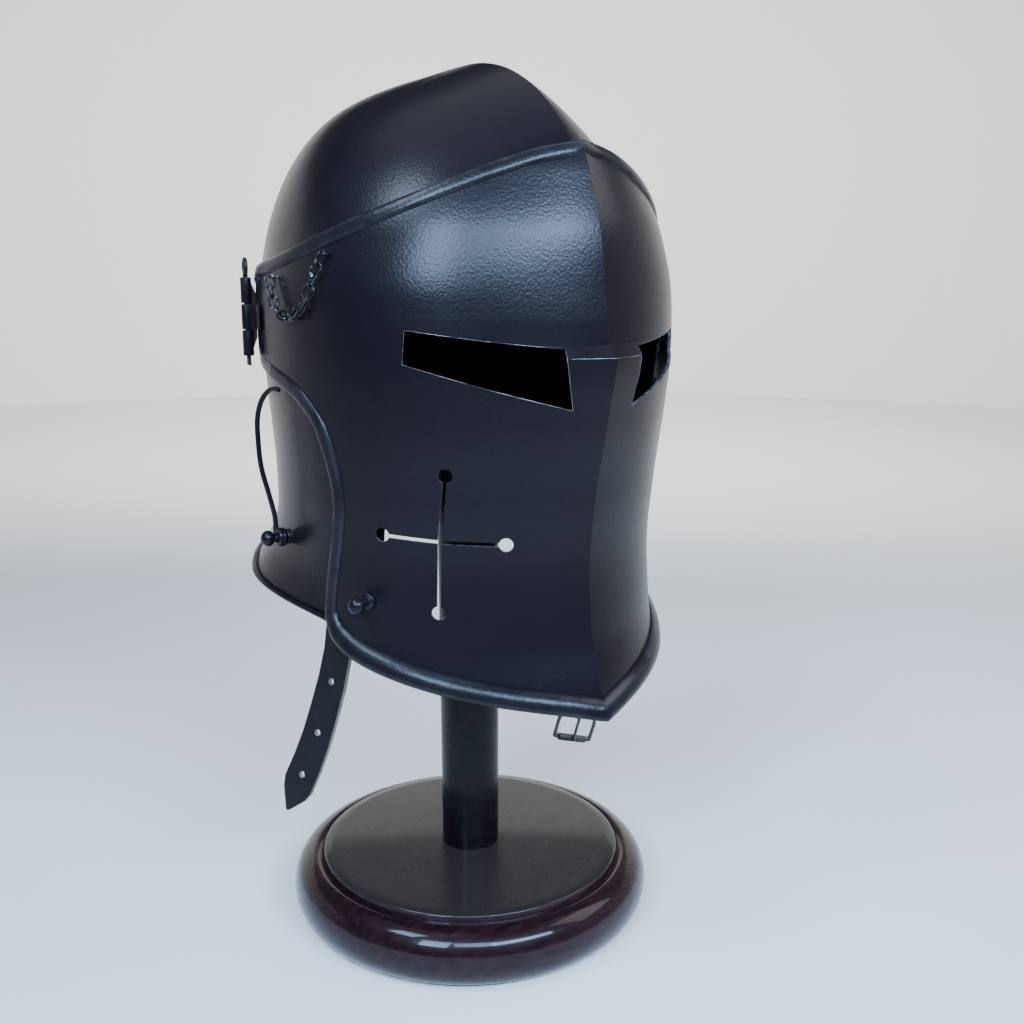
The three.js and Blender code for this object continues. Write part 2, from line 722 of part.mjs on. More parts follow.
// Pivot rivet: an inner head, a shank through the skull, a collar under the plate and a domed head
function pivotRivet() {
  const wallMost = skullHalfAt(pivotY - pivotHead * 0.7) + seatGap;
  const inside = skullHalfAt(pivotY + pivotHead) - steel - 2.2;
  const plateIn = lobeInner - 0.25;
  const plateOut = lobeInner + plateThickness + 0.25;
  const rows = [
    { radius: 0, height: inside - 1.4 },
    { radius: pivotHead * 0.8, height: inside - 1.4 },
    { radius: pivotHead * 0.8, height: inside },
    { radius: pivotRadius, height: inside },
    { radius: pivotRadius, height: wallMost },
    { radius: pivotHead * 0.7, height: wallMost },
    { radius: pivotHead * 0.7, height: plateIn },
    { radius: pivotRadius, height: plateIn },
    { radius: pivotRadius, height: plateOut },
    { radius: pivotHead, height: plateOut },
    { radius: pivotHead * 0.8, height: plateOut + 1.6 },
    { radius: pivotHead * 0.4, height: plateOut + 2.5 },
    { radius: 0, height: plateOut + 2.7 },
  ];
  const solid = turned(rows, 10).rotateY(-Math.PI / 2).translate(0, pivotY, pivotZ);
  return solidOf(solid);
}

function pivotHole() {
  const hole = new THREE.CylinderGeometry(pivotRadius + seatGap, pivotRadius + seatGap,
    halfBreadth * 2.4, 12);
  return solidOf(hole.rotateZ(Math.PI / 2).translate(0, pivotY, pivotZ));
}

// Studs: where each one stands, as turn and height from the eye line
const lockSpot = { turn: 101.5, height: -124 };
const catchSpot = { turn: 62, height: -144.6 };
const lockLevel = (spot) => spot.height / (rimDrop + rimTilt * (1 + Math.cos(rad(spot.turn))) / 2);

function studFrame(point, normal) {
  const z = normal.clone().setZ(0).normalize();
  const y = new THREE.Vector3(0, 0, 1);
  return frameAt(point, y.clone().cross(z), y, z);
}
const lockFrame = studFrame(
  skullFace(lockSpot.turn, lockLevel(lockSpot)),
  skullNormal(lockSpot.turn, lockLevel(lockSpot)),
);
const catchFrame = studFrame(
  visorFace(catchSpot.turn, catchSpot.height),
  visorNormal(catchSpot.turn, catchSpot.height),
);

function stud(frame, root, reach) {
  const rows = [
    { radius: 0, height: root },
    { radius: studCollar, height: root },
    { radius: studCollar, height: root + 2.2 },
    { radius: studNeck, height: root + 2.8 },
    { radius: studNeck, height: reach - studBall * 1.7 },
    { radius: studBall * 0.9, height: reach - studBall * 1.35 },
    { radius: studBall, height: reach - studBall * 0.85 },
    { radius: studBall * 0.72, height: reach - studBall * 0.22 },
    { radius: 0, height: reach },
  ];
  return solidOf(placed(turned(rows, 12), frame));
}

// Hook: two turns round the stud's neck, then a bowed arm up to a curled tip.
// The route lies in the lock stud's frame: along is towards the face, up is +Z, out is off the skull.
const hookArm = [
  { along: -4.2, up: 1, out: 8 },
  { along: -3.2, up: 10, out: 8.2 },
  { along: -3, up: 24, out: 11.2 },
  { along: -4.5, up: 40, out: 14.6 },
  { along: -5, up: 55, out: 15.5 },
  { along: -4, up: 69, out: 15.5 },
  { along: 0, up: 80, out: 13 },
  { along: 6, up: 84.6, out: 10 },
  { along: 14, up: 84.2, out: 8.4 },
];
const hookCoilOut = 5.2;

function lockHook() {
  const coilRadius = studNeck + hookWire + seatGap;
  const coil = solidOf(new THREE.TorusGeometry(coilRadius, hookWire * 0.98, 6, 12)
    .translate(0, 0, hookCoilOut));
  const second = solidOf(new THREE.TorusGeometry(coilRadius, hookWire * 0.98, 6, 12)
    .translate(0, 0, hookCoilOut + hookWire * 1.5));
  const points = hookArm.map(({ along, up, out }) => new THREE.Vector3(along, up, out));
  const arm = solidOf(wire(points, hookWire, 6, 20));
  const whole = geometryOf(coil.add(second).add(arm));
  return solidOf(placed(whole, lockFrame));
}

// Chain: a U between two staples on the visor
const chainRoute = [
  { turn: 92, height: 20 },
  { turn: 90.5, height: 11 },
  { turn: 88, height: 4 },
  { turn: 84, height: 0.5 },
  { turn: 79.5, height: 2.5 },
  { turn: 75.5, height: 9 },
  { turn: 73, height: 19 },
  { turn: 71, height: 31 },
];

function chainSpots(sign) {
  const curve = new THREE.CatmullRomCurve3(chainRoute.map(({ turn, height }) =>
    visorPoint(sign * turn, height, chainStandOff)), false, 'centripetal');
  return Array.from({ length: linksPerSide }, (_, i) => {
    const u = (i + 0.5) / linksPerSide;
    const point = curve.getPointAt(u);
    const along = curve.getTangentAt(u);
    return { point, along, length: curve.getLength() };
  });
}

function chainLink() {
  const ring = new THREE.TorusGeometry(linkWidth / 2 - linkWire, linkWire, 5, 10);
  const spread = (linkLength - linkWidth) / 2;
  const position = ring.attributes.position;
  for (let i = 0; i < position.count; i += 1) {
    const x = position.getX(i);
    position.setX(i, x + Math.sign(Math.round(x * 1e4)) * spread);
  }
  return ring;
}

function chainLinkAt(spot, index) {
  const out = new THREE.Vector3(spot.point.x, spot.point.y, 0).normalize();
  const side = out.clone().cross(spot.along).normalize();
  const flat = spot.along.clone().cross(side).normalize();
  const fromEnd = Math.min(index, linksPerSide - 1 - index);
  const twist = (index % 2 ? 0 : Math.PI / 2) + rad(15) * Math.min(3, fromEnd);
  const y = side.clone().multiplyScalar(Math.cos(twist)).addScaledVector(flat, Math.sin(twist));
  const z = spot.along.clone().cross(y).normalize();
  return frameAt(spot.point, spot.along, y, z);
}

// Staples: a wire eye on the visor whose bar passes through the chain's end link
function staple(sign, spots) {
  const [end, next] = spots;
  const bar = end.point.clone().addScaledVector(next.point.clone().sub(end.point).normalize(),
    2 * linkWire + 0.25 + linkWire - linkLength / 2);
  const normal = new THREE.Vector3(bar.x, bar.y, 0).normalize();
  const across = new THREE.Vector3(0, 0, 1).cross(normal).normalize();
  const legs = 2.4;
  const at = (side, out) => bar.clone().addScaledVector(across, side).addScaledVector(normal, out);
  const foot = -chainStandOff - seatGap;
  return solidOf(wire([at(-legs, foot), at(-legs, -1.2), at(-legs * 0.7, 0), at(legs * 0.7, 0),
    at(legs, -1.2), at(legs, foot)], linkWire, 6, 9));
}

// Straps: rows down the centre line, each with the way its face looks
const strapRows = {
  right: [
    { turn: 79, inside: 10.8, height: -134, face: 76 },
    { turn: 79, inside: 11, height: -160, face: 76 },
    { turn: 80, inside: 9, height: -185, face: 74 },
    { turn: 83, inside: 4.5, height: -212, face: 72 },
    { turn: 87, inside: -1, height: -240, face: 70 },
    { turn: 91, inside: -7, height: -262, face: 68 },
  ],
  left: [
    { turn: -73, inside: 11, height: -134, face: -73 },
    { turn: -73, inside: 13, height: -175, face: -64 },
    { turn: -76, inside: 20, height: -215, face: -30 },
    { turn: -79, inside: 31, height: -257, face: 15 },
  ],
};
const strapTip = 18;

function strapStations(side) {
  return strapRows[side].map((row) => {
    const out = new THREE.Vector3(-Math.sin(rad(row.turn)), -Math.cos(rad(row.turn)), 0);
    const reach = 1 / Math.hypot(out.x / girdle.breadth, out.y / girdle.reach);
    const point = out.multiplyScalar(reach - steel - row.inside).setZ(eyeLine + row.height);
    const face = new THREE.Vector3(-Math.sin(rad(row.face)), -Math.cos(rad(row.face)), 0);
    return { point, face };
  });
}

function strapCurve(side) {
  const stations = strapStations(side);
  const curve = new THREE.CatmullRomCurve3(stations.map((s) => s.point), false, 'centripetal');
  const faceAt = (u) => {
    const at = u * (stations.length - 1);
    const i = Math.min(stations.length - 2, Math.floor(at));
    return stations[i].face.clone().lerp(stations[i + 1].face, at - i).normalize();
  };
  return { curve, faceAt };
}

function strapFrame({ curve, faceAt }, u) {
  const point = curve.getPoint(u);
  const along = curve.getTangent(u).normalize();
  const across = along.clone().cross(faceAt(u)).normalize();
  const face = across.clone().cross(along).normalize();
  return { point, along, across, face };
}

function strapBody(side, pointed) {
  const route = strapCurve(side);
  const steps = 8;
  const ringAt = (u, half) => {
    const { point, across, face } = strapFrame(route, u);
    const corner = (a, f) => point.clone().addScaledVector(across, a * half)
      .addScaledVector(face, f * strapThickness / 2);
    return [corner(-1, -1), corner(1, -1), corner(1, 1), corner(-1, 1)];
  };
  const rings = Array.from({ length: steps + 1 }, (_, i) => ringAt(i / steps, strapWidth / 2));
  if (pointed) {
    const { along } = strapFrame(route, 1);
    const tip = ringAt(1, 0.8).map((p) => p.addScaledVector(along, strapTip));
    const shoulder = ringAt(1, strapWidth / 2 * 0.8).map((p) => p.addScaledVector(along, strapTip * 0.35));
    rings.push(shoulder, tip);
  }
  return { body: solidOf(ringLoft(rings, false)), route };
}

function throughStrap(route, u, radius) {
  const { point, across, along, face } = strapFrame(route, u);
  const hole = rod(radius, 40, 8);
  return solidOf(placed(hole, frameAt(point, across, along.clone().negate(), face)));
}
const holePlaces = [0.5, 0.72, 0.94];
const rivetPlace = 0.05;

function strapRivet(route) {
  const { point, across, along, face } = strapFrame(route, rivetPlace);
  const half = strapThickness / 2 + seatGap;
  const rows = [
    { radius: 0, height: -half - 1.8 },
    { radius: 3.4, height: -half - 0.6 },
    { radius: 3.4, height: -half },
    { radius: 1.5, height: -half },
    { radius: 1.5, height: half - 0.1 },
    { radius: 0, height: half - 0.1 },
  ];
  return solidOf(placed(turned(rows, 12), frameAt(point, across, along.clone().negate(), face)));
}

// Buckle: a wire frame whose top bar runs through the folded strap end
function buckleParts(route) {
  const { point, along, across, face } = strapFrame(route, 1);
  const down = along.clone();
  const at = (x, y, z) => point.clone().addScaledVector(across, x).addScaledVector(down, y)
    .addScaledVector(face, z);
  const w = buckleWidth / 2 - buckleWire;
  const top = buckleWire + 1.5 * seatGap;
  const low = top + buckleHeight - 2 * buckleWire;
  const mid = (top + low) / 2;
  const round = 2.6;
  const frame = joined([
    wire([at(-w, low, 0), at(-w, mid, 0), at(-w, top + round, 0), at(-w + round, top, 0), at(0, top, 0),
      at(w - round, top, 0), at(w, top + round, 0), at(w, mid, 0), at(w, low, 0)], buckleWire, 6, 16),
    wire([at(-w - 0.3, low, 0), at(0, low, 0), at(w + 0.3, low, 0)], buckleWire, 6, 2),
  ].map(solidOf));
  const rollerTube = new THREE.CylinderGeometry(rollerRadius, rollerRadius, buckleWidth - 9, 12);
  const rollerBore = new THREE.CylinderGeometry(buckleWire + seatGap, buckleWire + seatGap,
    buckleWidth, 10);
  const lay = frameAt(at(0, low, 0), down, across, face.clone().negate());
  const roller = solidOf(placed(rollerTube, lay)).subtract(solidOf(placed(rollerBore, lay)));
  const over = buckleWire + tongueWire + seatGap;
  const rollerOver = rollerRadius + tongueWire + seatGap;
  const eyeRadius = buckleWire + tongueWire + seatGap;
  const eye = placed(new THREE.TorusGeometry(eyeRadius, tongueWire, 6, 10),
    frameAt(at(0, top, 0), down, face, across));
  const arm = wire([at(0, top, over), at(0, mid, over), at(0, low + 1, rollerOver)], tongueWire, 6, 4);
  const tongue = solidOf(eye).add(solidOf(arm));
  const notchWidth = 2 * (tongueWire + seatGap);
  const notchDepth = eyeRadius + tongueWire + seatGap - top;
  const notch = solidOf(placed(new THREE.BoxGeometry(notchWidth, 2 * notchDepth, 4 * strapThickness),
    frameAt(point, across, down.clone().negate(), face)));
  return { frame, roller, tongue, notch };
}

// Assembly
const rivet = pivotRivet();
add('skull', geometryOf(skullShell().subtract(faceOpening()).subtract(pivotHole())), blackSteel());
add('visor', geometryOf(visorSolid), blackSteel());

for (const { side, sign } of sides) {
  add(`hinge_plate_${side}`, geometryOf(solidOf(mirrorX(geometryOf(hingePlate()), sign))), blackSteel());
  add(`hinge_leaf_${side}`, geometryOf(solidOf(mirrorX(geometryOf(hingeLeaf()), sign))), blackSteel());
  add(`hinge_pin_${side}`, geometryOf(solidOf(mirrorX(geometryOf(hingePin()), sign))), blackSteel());
  add(`pivot_rivet_${side}`, geometryOf(solidOf(mirrorX(geometryOf(rivet), sign))), blackSteel());
}

add('lock_stud', geometryOf(stud(lockFrame, 4 * seatGap, lockReach)), blackSteel());
add('visor_stud', geometryOf(stud(catchFrame, seatGap, catchReach)), blackSteel());
add('lock_hook', geometryOf(lockHook()), blackSteel());

for (const { side, sign } of sides) {
  chainSpots(sign).forEach((spot, i) => {
    const number = String(i + 1).padStart(2, '0');
    add(`chain_${side}_${number}`, placed(chainLink(), chainLinkAt(spot, i)), blackSteel());
  });
  const spots = chainSpots(sign);
  add(`chain_staple_${side}_rear`, geometryOf(staple(sign, spots)), blackSteel());
  add(`chain_staple_${side}_front`, geometryOf(staple(sign, [...spots].reverse())), blackSteel());
}

const rightStrap = strapBody('right', true);
const leftStrap = strapBody('left', false);
const buckle = buckleParts(leftStrap.route);
const holes = joined(holePlaces.map((u) => throughStrap(rightStrap.route, u, strapHole)));
const rivetHole = (route) => throughStrap(route, rivetPlace, 1.5 + seatGap);
add('strap_right', geometryOf(rightStrap.body.subtract(holes).subtract(rivetHole(rightStrap.route))),
  leather());
add('strap_left', geometryOf(leftStrap.body.subtract(buckle.notch).subtract(rivetHole(leftStrap.route))),
  leather());
add('strap_rivet_right', geometryOf(strapRivet(rightStrap.route)), brightSteel());
add('strap_rivet_left', geometryOf(strapRivet(leftStrap.route)), brightSteel());
add('buckle_frame', geometryOf(buckle.frame), brightSteel());
add('buckle_roller', geometryOf(buckle.roller), brightSteel());
add('buckle_tongue', geometryOf(buckle.tongue), brightSteel());

export default group;
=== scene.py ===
# %% [markdown]
# # A visored barbute on its display stand
# The helmet is black powder-coated steel: a skull, a lifting visor with eye slits and a cross
# of breaths, and small black hardware. The stand is lacquered wood. The CAD frame gives every
# place and size, and this file gives the pieces their fine shape and their finish.

# %% Load the frame
import math

import bpy
import numpy as np
from mathutils import Matrix, Vector


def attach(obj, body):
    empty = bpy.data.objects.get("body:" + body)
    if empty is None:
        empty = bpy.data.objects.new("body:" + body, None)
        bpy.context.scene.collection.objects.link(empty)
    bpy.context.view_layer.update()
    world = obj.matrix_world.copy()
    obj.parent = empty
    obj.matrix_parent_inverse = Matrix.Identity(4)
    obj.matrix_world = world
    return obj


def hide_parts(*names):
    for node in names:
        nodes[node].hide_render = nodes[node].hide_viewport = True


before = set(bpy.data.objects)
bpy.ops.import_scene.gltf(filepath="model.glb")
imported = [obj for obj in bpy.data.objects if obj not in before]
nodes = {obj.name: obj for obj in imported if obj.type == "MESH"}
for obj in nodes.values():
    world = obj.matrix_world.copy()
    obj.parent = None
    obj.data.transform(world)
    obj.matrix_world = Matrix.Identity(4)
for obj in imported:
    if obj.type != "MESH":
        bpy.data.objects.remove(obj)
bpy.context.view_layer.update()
bpy.ops.object.select_all(action="DESELECT")

# %% [markdown]
# The camera stands a little above the eye slits, to the wearer's right of the face.
# Its place was found by matching the stand's rim and the visor's corners in the photograph.

# %% Camera
camera_data = bpy.data.cameras.new("camera")
camera_data.lens = 40.43
camera = bpy.data.objects.new("camera", camera_data)
bpy.context.scene.collection.objects.link(camera)
camera.location = (-0.3634, -0.5647, 0.391)
camera.rotation_euler = (math.radians(78), 0, math.radians(-35))
bpy.context.scene.camera = camera

# %% [markdown]
# Shader maths reads best as plain expressions. This wrapper holds one socket of a material,
# and each operator adds the Math node that works it out.


# %% A socket that can be added and multiplied
class Value:
    def __init__(self, tree, socket):
        self.tree = tree
        self.socket = socket

    def math(self, operation, other, swap=False):
        node = self.tree.nodes.new("ShaderNodeMath")
        node.operation = operation
        for slot, item in zip((1, 0) if swap else (0, 1), (self, other)):
            if isinstance(item, Value):
                self.tree.links.new(item.socket, node.inputs[slot])
            else:
                node.inputs[slot].default_value = item
        return Value(self.tree, node.outputs[0])

    def __add__(self, other):
        return self.math("ADD", other)

    def __mul__(self, other):
        return self.math("MULTIPLY", other)

    def __sub__(self, other):
        return self.math("SUBTRACT", other)

    def __rsub__(self, other):
        return self.math("SUBTRACT", other, swap=True)

    __radd__ = __add__


# %% A finish: one material and the nodes behind its shader
class Finish:
    def __init__(self, name, **constants):
        self.material = bpy.data.materials.new(name)
        self.material.use_nodes = True
        self.tree = self.material.node_tree
        self.shader = self.tree.nodes["Principled BSDF"]
        self.put(self.shader, constants)
        self.place = self.node("TexCoord", out="Object")

    def put(self, node, inputs):
        for name, item in inputs.items():
            socket = node.inputs[name.replace("_", " ") if isinstance(name, str) else name]
            if isinstance(item, Value):
                self.tree.links.new(item.socket, socket)
            else:
                socket.default_value = item

    def node(self, kind, settings=None, inputs=None, out=0):
        node = self.tree.nodes.new("ShaderNode" + kind)
        for name, item in (settings or {}).items():
            setattr(node, name, item)
        self.put(node, inputs or {})
        return Value(self.tree, node.outputs[out])

    def noise(self, scale, detail=2.0, roughness=0.5, place=None):
        return self.node("TexNoise", None, {
            "Vector": place or self.place, "Scale": scale, "Detail": detail,
            "Roughness": roughness})

    def stretched(self, *scale):
        return self.node("Mapping", None, {"Vector": self.place, "Scale": scale})

    def step(self, value, low, high):
        return self.node("MapRange", {"interpolation_type": "SMOOTHSTEP"}, {
            "Value": value, "From Min": low, "From Max": high})

    def mix(self, mask, dark, light):
        return self.node("Mix", {"data_type": "RGBA"}, {0: mask, 6: dark, 7: light}, out=2)

    def attribute(self, name):
        return self.node("Attribute", {"attribute_name": name}, out="Fac")

    def bump(self, height, distance, strength=1.0):
        return self.node("Bump", None, {
            "Height": height, "Distance": distance, "Strength": strength})

    def surface(self, **inputs):
        self.put(self.shader, inputs)
        return self.material


# %% [markdown]
# Powder coat is baked plastic. It levels out into a fine orange peel, a soft pebble a little
# over a millimetre across, which only shows where a light is reflected. Where hands and edges
# rub, the coat is polished and thin, so a worn mask makes it greyer and glossier there.


# %% Black powder coat
def powder_coat(name, wear_attribute=None):
    coat = Finish(name, Specular_IOR_Level=0.22)
    pebble = coat.node("TexVoronoi", {"feature": "SMOOTH_F1"}, {
        "Vector": coat.place, "Scale": 740.0, "Smoothness": 1.0})
    grit = coat.noise(1900, 1, 0.5)
    cloud = coat.noise(14, 3, 0.6)
    color = coat.mix(cloud, (0.005, 0.0038, 0.0054, 1), (0.0078, 0.006, 0.008, 1))
    rough = 0.25 + cloud * 0.08
    if wear_attribute:
        worn = coat.attribute(wear_attribute) * coat.step(coat.noise(60, 3, 0.5), 0.3, 0.7)
        color = coat.mix(worn, color, (0.03, 0.032, 0.036, 1))
        rough = rough - worn * 0.05
    relief = coat.bump(pebble + grit * 0.25, PEEL_DEPTH)
    return coat.surface(Base_Color=color, Roughness=rough, Normal=relief)


PEEL_DEPTH = 0.00008
black_coat = powder_coat("black powder coat")
band_coat = powder_coat("black coat worn on the bands", "wear")
print("finishes:", black_coat.name, "and", band_coat.name)

# %% [markdown]
# A cut edge in sheet steel loses its coat first. The slit walls get a greyer, smoother metal.

# %% Worn steel edge
cut_edge = Finish("worn steel edge", Metallic=0.55)
rubbed = cut_edge.step(cut_edge.noise(240, 3, 0.6), 0.35, 0.65)
worn_edge = cut_edge.surface(
    Base_Color=cut_edge.mix(rubbed, (0.02, 0.021, 0.024, 1), (0.30, 0.30, 0.32, 1)),
    Roughness=0.42 - rubbed * 0.1)

# %% [markdown]
# Chains are blackened and rub on each other, so each link shows bright steel on its bends.
# The buckle is dark nickel plate, smooth but scratched.

# %% Blackened chain and dark nickel
links = Finish("blackened chain steel", Metallic=0.75)
bright = links.step(links.noise(520, 3, 0.6), 0.5, 0.7)
chain_steel = links.surface(
    Base_Color=links.mix(bright, (0.012, 0.012, 0.014, 1), (0.2, 0.2, 0.21, 1)),
    Roughness=0.3 - bright * 0.1)

plate = Finish("dark nickel plate", Metallic=0.95)
scratch = plate.noise(900, 4, 0.7, plate.stretched(1, 1, 0.15))
nickel = plate.surface(
    Base_Color=plate.mix(scratch, (0.035, 0.034, 0.033, 1), (0.13, 0.127, 0.123, 1)),
    Roughness=0.2 + scratch * 0.2, Normal=plate.bump(scratch, 0.00004))

# %% [markdown]
# The strap is black faced leather: tiny pores, soft creases across it and a matt sheen.
# Its cut sides were never dyed, so they show the grey tan fibre.


# %% Leather
def leather(name, dark, light, low, pore):
    hide = Finish(name, Specular_IOR_Level=0.16)
    cells = hide.node("TexVoronoi", {"feature": "SMOOTH_F1"}, {
        "Vector": hide.place, "Scale": 900.0, "Smoothness": 0.7})
    crease = hide.noise(160, 4, 0.65, hide.stretched(0.5, 0.5, 2.5))
    shade = hide.noise(60, 4, 0.6)
    return hide.surface(
        Base_Color=hide.mix(shade * 0.6 + crease * 0.4, dark, light),
        Roughness=low + shade * 0.2,
        Normal=hide.bump(cells * 0.6 + crease, pore))


strap_face = leather("black strap leather", (0.004, 0.0035, 0.004, 1),
                     (0.010, 0.009, 0.010, 1), 0.46, 0.00018)
strap_edge = leather("raw strap edge", (0.10, 0.085, 0.07, 1),
                     (0.26, 0.23, 0.20, 1), 0.7, 0.0003)

# %% [markdown]
# The base is dark mahogany under a clear lacquer. The figure is faint: reddish streaks across
# the board and fine pores, under a coat that barely ripples. The disc's top is painted lighter
# and less red: a painted sheen that stands in for the pale wall it reflects.


# %% Lacquered wood
def lacquer(name, dark, light, pore_light, gloss, painted_sheen=None):
    wood = Finish(name, Coat_Weight=gloss, Coat_Roughness=0.05, Coat_IOR=1.34,
                  Specular_IOR_Level=0.1)
    bend = wood.noise(7, 2, 0.5)
    grain = wood.noise(34, 4, 0.62, wood.stretched(1, 7, 7))
    pores = wood.step(wood.noise(420, 3, 0.7, wood.stretched(0.35, 1, 1)), 0.56, 0.72)
    figure = wood.mix(wood.step(grain * 0.75 + bend * 0.25, 0.36, 0.68), dark, light)
    color = wood.mix(pores, figure, pore_light)
    # The disc's top is painted lighter and less red: a painted sheen of the pale wall it reflects.
    if painted_sheen:
        height = wood.node("SeparateXYZ", None, {"Vector": wood.place}, out=2)
        color = wood.mix(wood.step(height, *DISC_SHEEN_HEIGHTS), color, painted_sheen)
    ripple = wood.bump(wood.noise(26, 1, 0.4), 0.0007, 0.35)
    return wood.surface(Base_Color=color, Roughness=0.3 - pores * 0.08, Normal=ripple)


DISC_SHEEN_HEIGHTS = (0.036, 0.0375)  # heights between which the disc top's painted sheen begins
# The last colour is the disc top's painted sheen, lighter and less red than the wood.
mahogany = lacquer("mahogany lacquer", (0.008, 0.003, 0.004, 1), (0.021, 0.007, 0.010, 1),
                   (0.029, 0.012, 0.016, 1), 0.6, (0.02, 0.0155, 0.014, 1))
ebony = lacquer("black lacquer", (0.0035, 0.003, 0.0035, 1), (0.008, 0.006, 0.0065, 1),
                (0.012, 0.009, 0.01, 1), 0.15)
print("materials so far:", len(bpy.data.materials))

# %% [markdown]
# The steel shells are free forms. Armourers check them with section templates, and the same
# tables are used here: each row is one level, and its columns are shares of the main sizes.

# %% Sizes of the shells, in millimetres from the eye line
EYE_LINE = 366
STEEL = 1.6
SHELL_GAP = 3.7
HALF_BREADTH, FRONT_REACH, REAR_REACH = 114.5, 121, 153
FACE_DROP, BROW_RISE = 205, 85
KEEL_PROUD, NOSE_PROUD = 12, 6.5
RIM_DROP, RIM_TILT, RIM_FLARE = 143, 34, 17
DOME_RISE, COMB_PROUD, COMB_HALF_WIDTH = 124, 10, 52
DOME_BROW, DOME_BACK, BROW_PINCH = 0.94, 0.62, 0.35
HINGE_TURN = 106
NOSE_TIP, SHELF_BACK = -0.088, -0.058  # levels of the nose shelf's edge and of its root

# columns: level, breadth, reach, keel, nose, rear
VISOR_SECTIONS = [
    (-1.0, 0.968, 0.966, 1.04, 0, 0.97),
    (-0.92, 0.95, 0.94, 1.0, 0, 0.96),
    (-0.8, 0.932, 0.896, 0.88, 0, 0.955),
    (-0.63, 0.927, 0.872, 0.83, 0, 0.955),
    (-0.44, 0.948, 0.905, 0.79, 0.12, 0.965),
    (-0.24, 0.978, 0.963, 0.71, 0.55, 0.98),
    (-0.088, 0.996, 0.992, 0.67, 1, 0.995),
    (-0.058, 0.998, 0.99, 0.62, 0, 0.998),
    (0.12, 1.0, 0.976, 0.62, 0, 1.0),
    (0.47, 0.945, 0.935, 0.66, 0, 0.965),
    (0.82, 0.82, 0.86, 0.66, 0, 0.85),
    (1.0, 0.71, 0.815, 0.6, 0, 0.76),
]
BREADTH, REACH, KEEL, NOSE, REAR = 1, 2, 3, 4, 5

# columns: level, share of the hinge's turn at which the visor's edge stands
VISOR_OUTLINE = [
    (-1.0, 0), (-0.974, 0.108), (-0.937, 0.302), (-0.917, 0.401), (-0.875, 0.579),
    (-0.849, 0.655), (-0.812, 0.711), (-0.756, 0.738), (-0.673, 0.728), (-0.561, 0.702),
    (-0.454, 0.684), (-0.281, 0.724), (-0.21, 0.79), (-0.175, 0.87), (-0.15, 0.955),
    (-0.125, 1), (0.29, 1), (0.36, 0.88), (0.435, 0.767), (0.565, 0.61), (0.675, 0.486),
    (0.781, 0.368), (0.88, 0.249), (0.95, 0.142), (1.0, 0),
]

# columns: level, share of the rim's flare
SKULL_WALL = [(-1, 1), (-0.95, 0.8), (-0.86, 0.35), (-0.72, 0.08), (-0.5, 0), (-0.25, 0), (0, 0)]


# %% A smooth curve through a table's rows
def between(rows, column, at):
    last = len(rows) - 1

    def slope(i):
        return (rows[i + 1][column] - rows[i][column]) / (rows[i + 1][0] - rows[i][0])

    def tangent(i):
        if i in (0, last):
            return slope(min(i, last - 1))
        before, after = slope(i - 1), slope(i)
        return 0 if before * after <= 0 else 2 * before * after / (before + after)

    if at <= rows[0][0]:
        return rows[0][column]
    if at >= rows[last][0]:
        return rows[last][column]
    i = max(k for k in range(last) if rows[k][0] <= at)
    step = rows[i + 1][0] - rows[i][0]
    f = (at - rows[i][0]) / step
    a = 2 * f ** 3 - 3 * f ** 2 + 1
    b = f ** 3 - 2 * f ** 2 + f
    c = f ** 3 - f ** 2
    return (a * rows[i][column] + b * step * tangent(i)
            + (1 - a) * rows[i + 1][column] + c * step * tangent(i + 1))


def smooth(low, high, value):
    t = min(1, max(0, (value - low) / (high - low)))
    return t * t * (3 - 2 * t)


# %% Points on the visor and the skull
def height_at(level):
    return level * (FACE_DROP if level < 0 else BROW_RISE)


def level_at(height):
    return height / (FACE_DROP if height < 0 else BROW_RISE)


def visor_face(turn, height):
    level = level_at(height)
    sine, cosine = math.sin(math.radians(turn)), math.cos(math.radians(turn))
    ridge = (KEEL_PROUD * between(VISOR_SECTIONS, KEEL, level) * (1 - abs(sine)) ** 2
             + NOSE_PROUD * between(VISOR_SECTIONS, NOSE, level) * (1 - abs(sine)) ** 3)
    if cosine >= 0:
        forward = FRONT_REACH * between(VISOR_SECTIONS, REACH, level) * cosine + ridge
    else:
        forward = REAR_REACH * between(VISOR_SECTIONS, REAR, level) * cosine
    side = -HALF_BREADTH * between(VISOR_SECTIONS, BREADTH, level) * sine
    return Vector((side, -forward, height + EYE_LINE)) / 1000


def skull_sizes(height):
    level = level_at(height)
    inset = STEEL + SHELL_GAP
    return (HALF_BREADTH * between(VISOR_SECTIONS, BREADTH, level) - inset,
            FRONT_REACH * between(VISOR_SECTIONS, REACH, level) - inset,
            REAR_REACH * between(VISOR_SECTIONS, REAR, level) - inset)


GIRDLE = skull_sizes(0)


def skull_face(turn, level):
    sine, cosine = math.sin(math.radians(turn)), math.cos(math.radians(turn))
    if level <= 0:
        height = level * (RIM_DROP + RIM_TILT * (1 + cosine) / 2)
        breadth, reach, rear = skull_sizes(height)
        grow = RIM_FLARE * smooth(78, 118, abs(turn)) * between(SKULL_WALL, 1, level)
        long = (reach if cosine >= 0 else rear) + grow
        return Vector((-(breadth + grow) * sine, -long * cosine, EYE_LINE + height)) / 1000
    rise = level * math.pi / 2
    power = DOME_BROW if cosine >= 0 else DOME_BACK + (DOME_BROW - DOME_BACK) * (1 + cosine) ** 2
    spread = max(0.0, math.cos(rise)) ** power
    long = GIRDLE[1] if cosine >= 0 else GIRDLE[2]
    x = -GIRDLE[0] * spread * (1 - BROW_PINCH * level * max(0, cosine)) * sine
    y = -long * spread * cosine
    ridge = COMB_PROUD * smooth(0.08, 0.45, level) * max(0, 1 - abs(x) / COMB_HALF_WIDTH) ** 2
    out = Vector((0, y / long, math.sin(rise))).normalized()
    return (Vector((x, y, EYE_LINE + DOME_RISE * math.sin(rise))) + out * ridge) / 1000


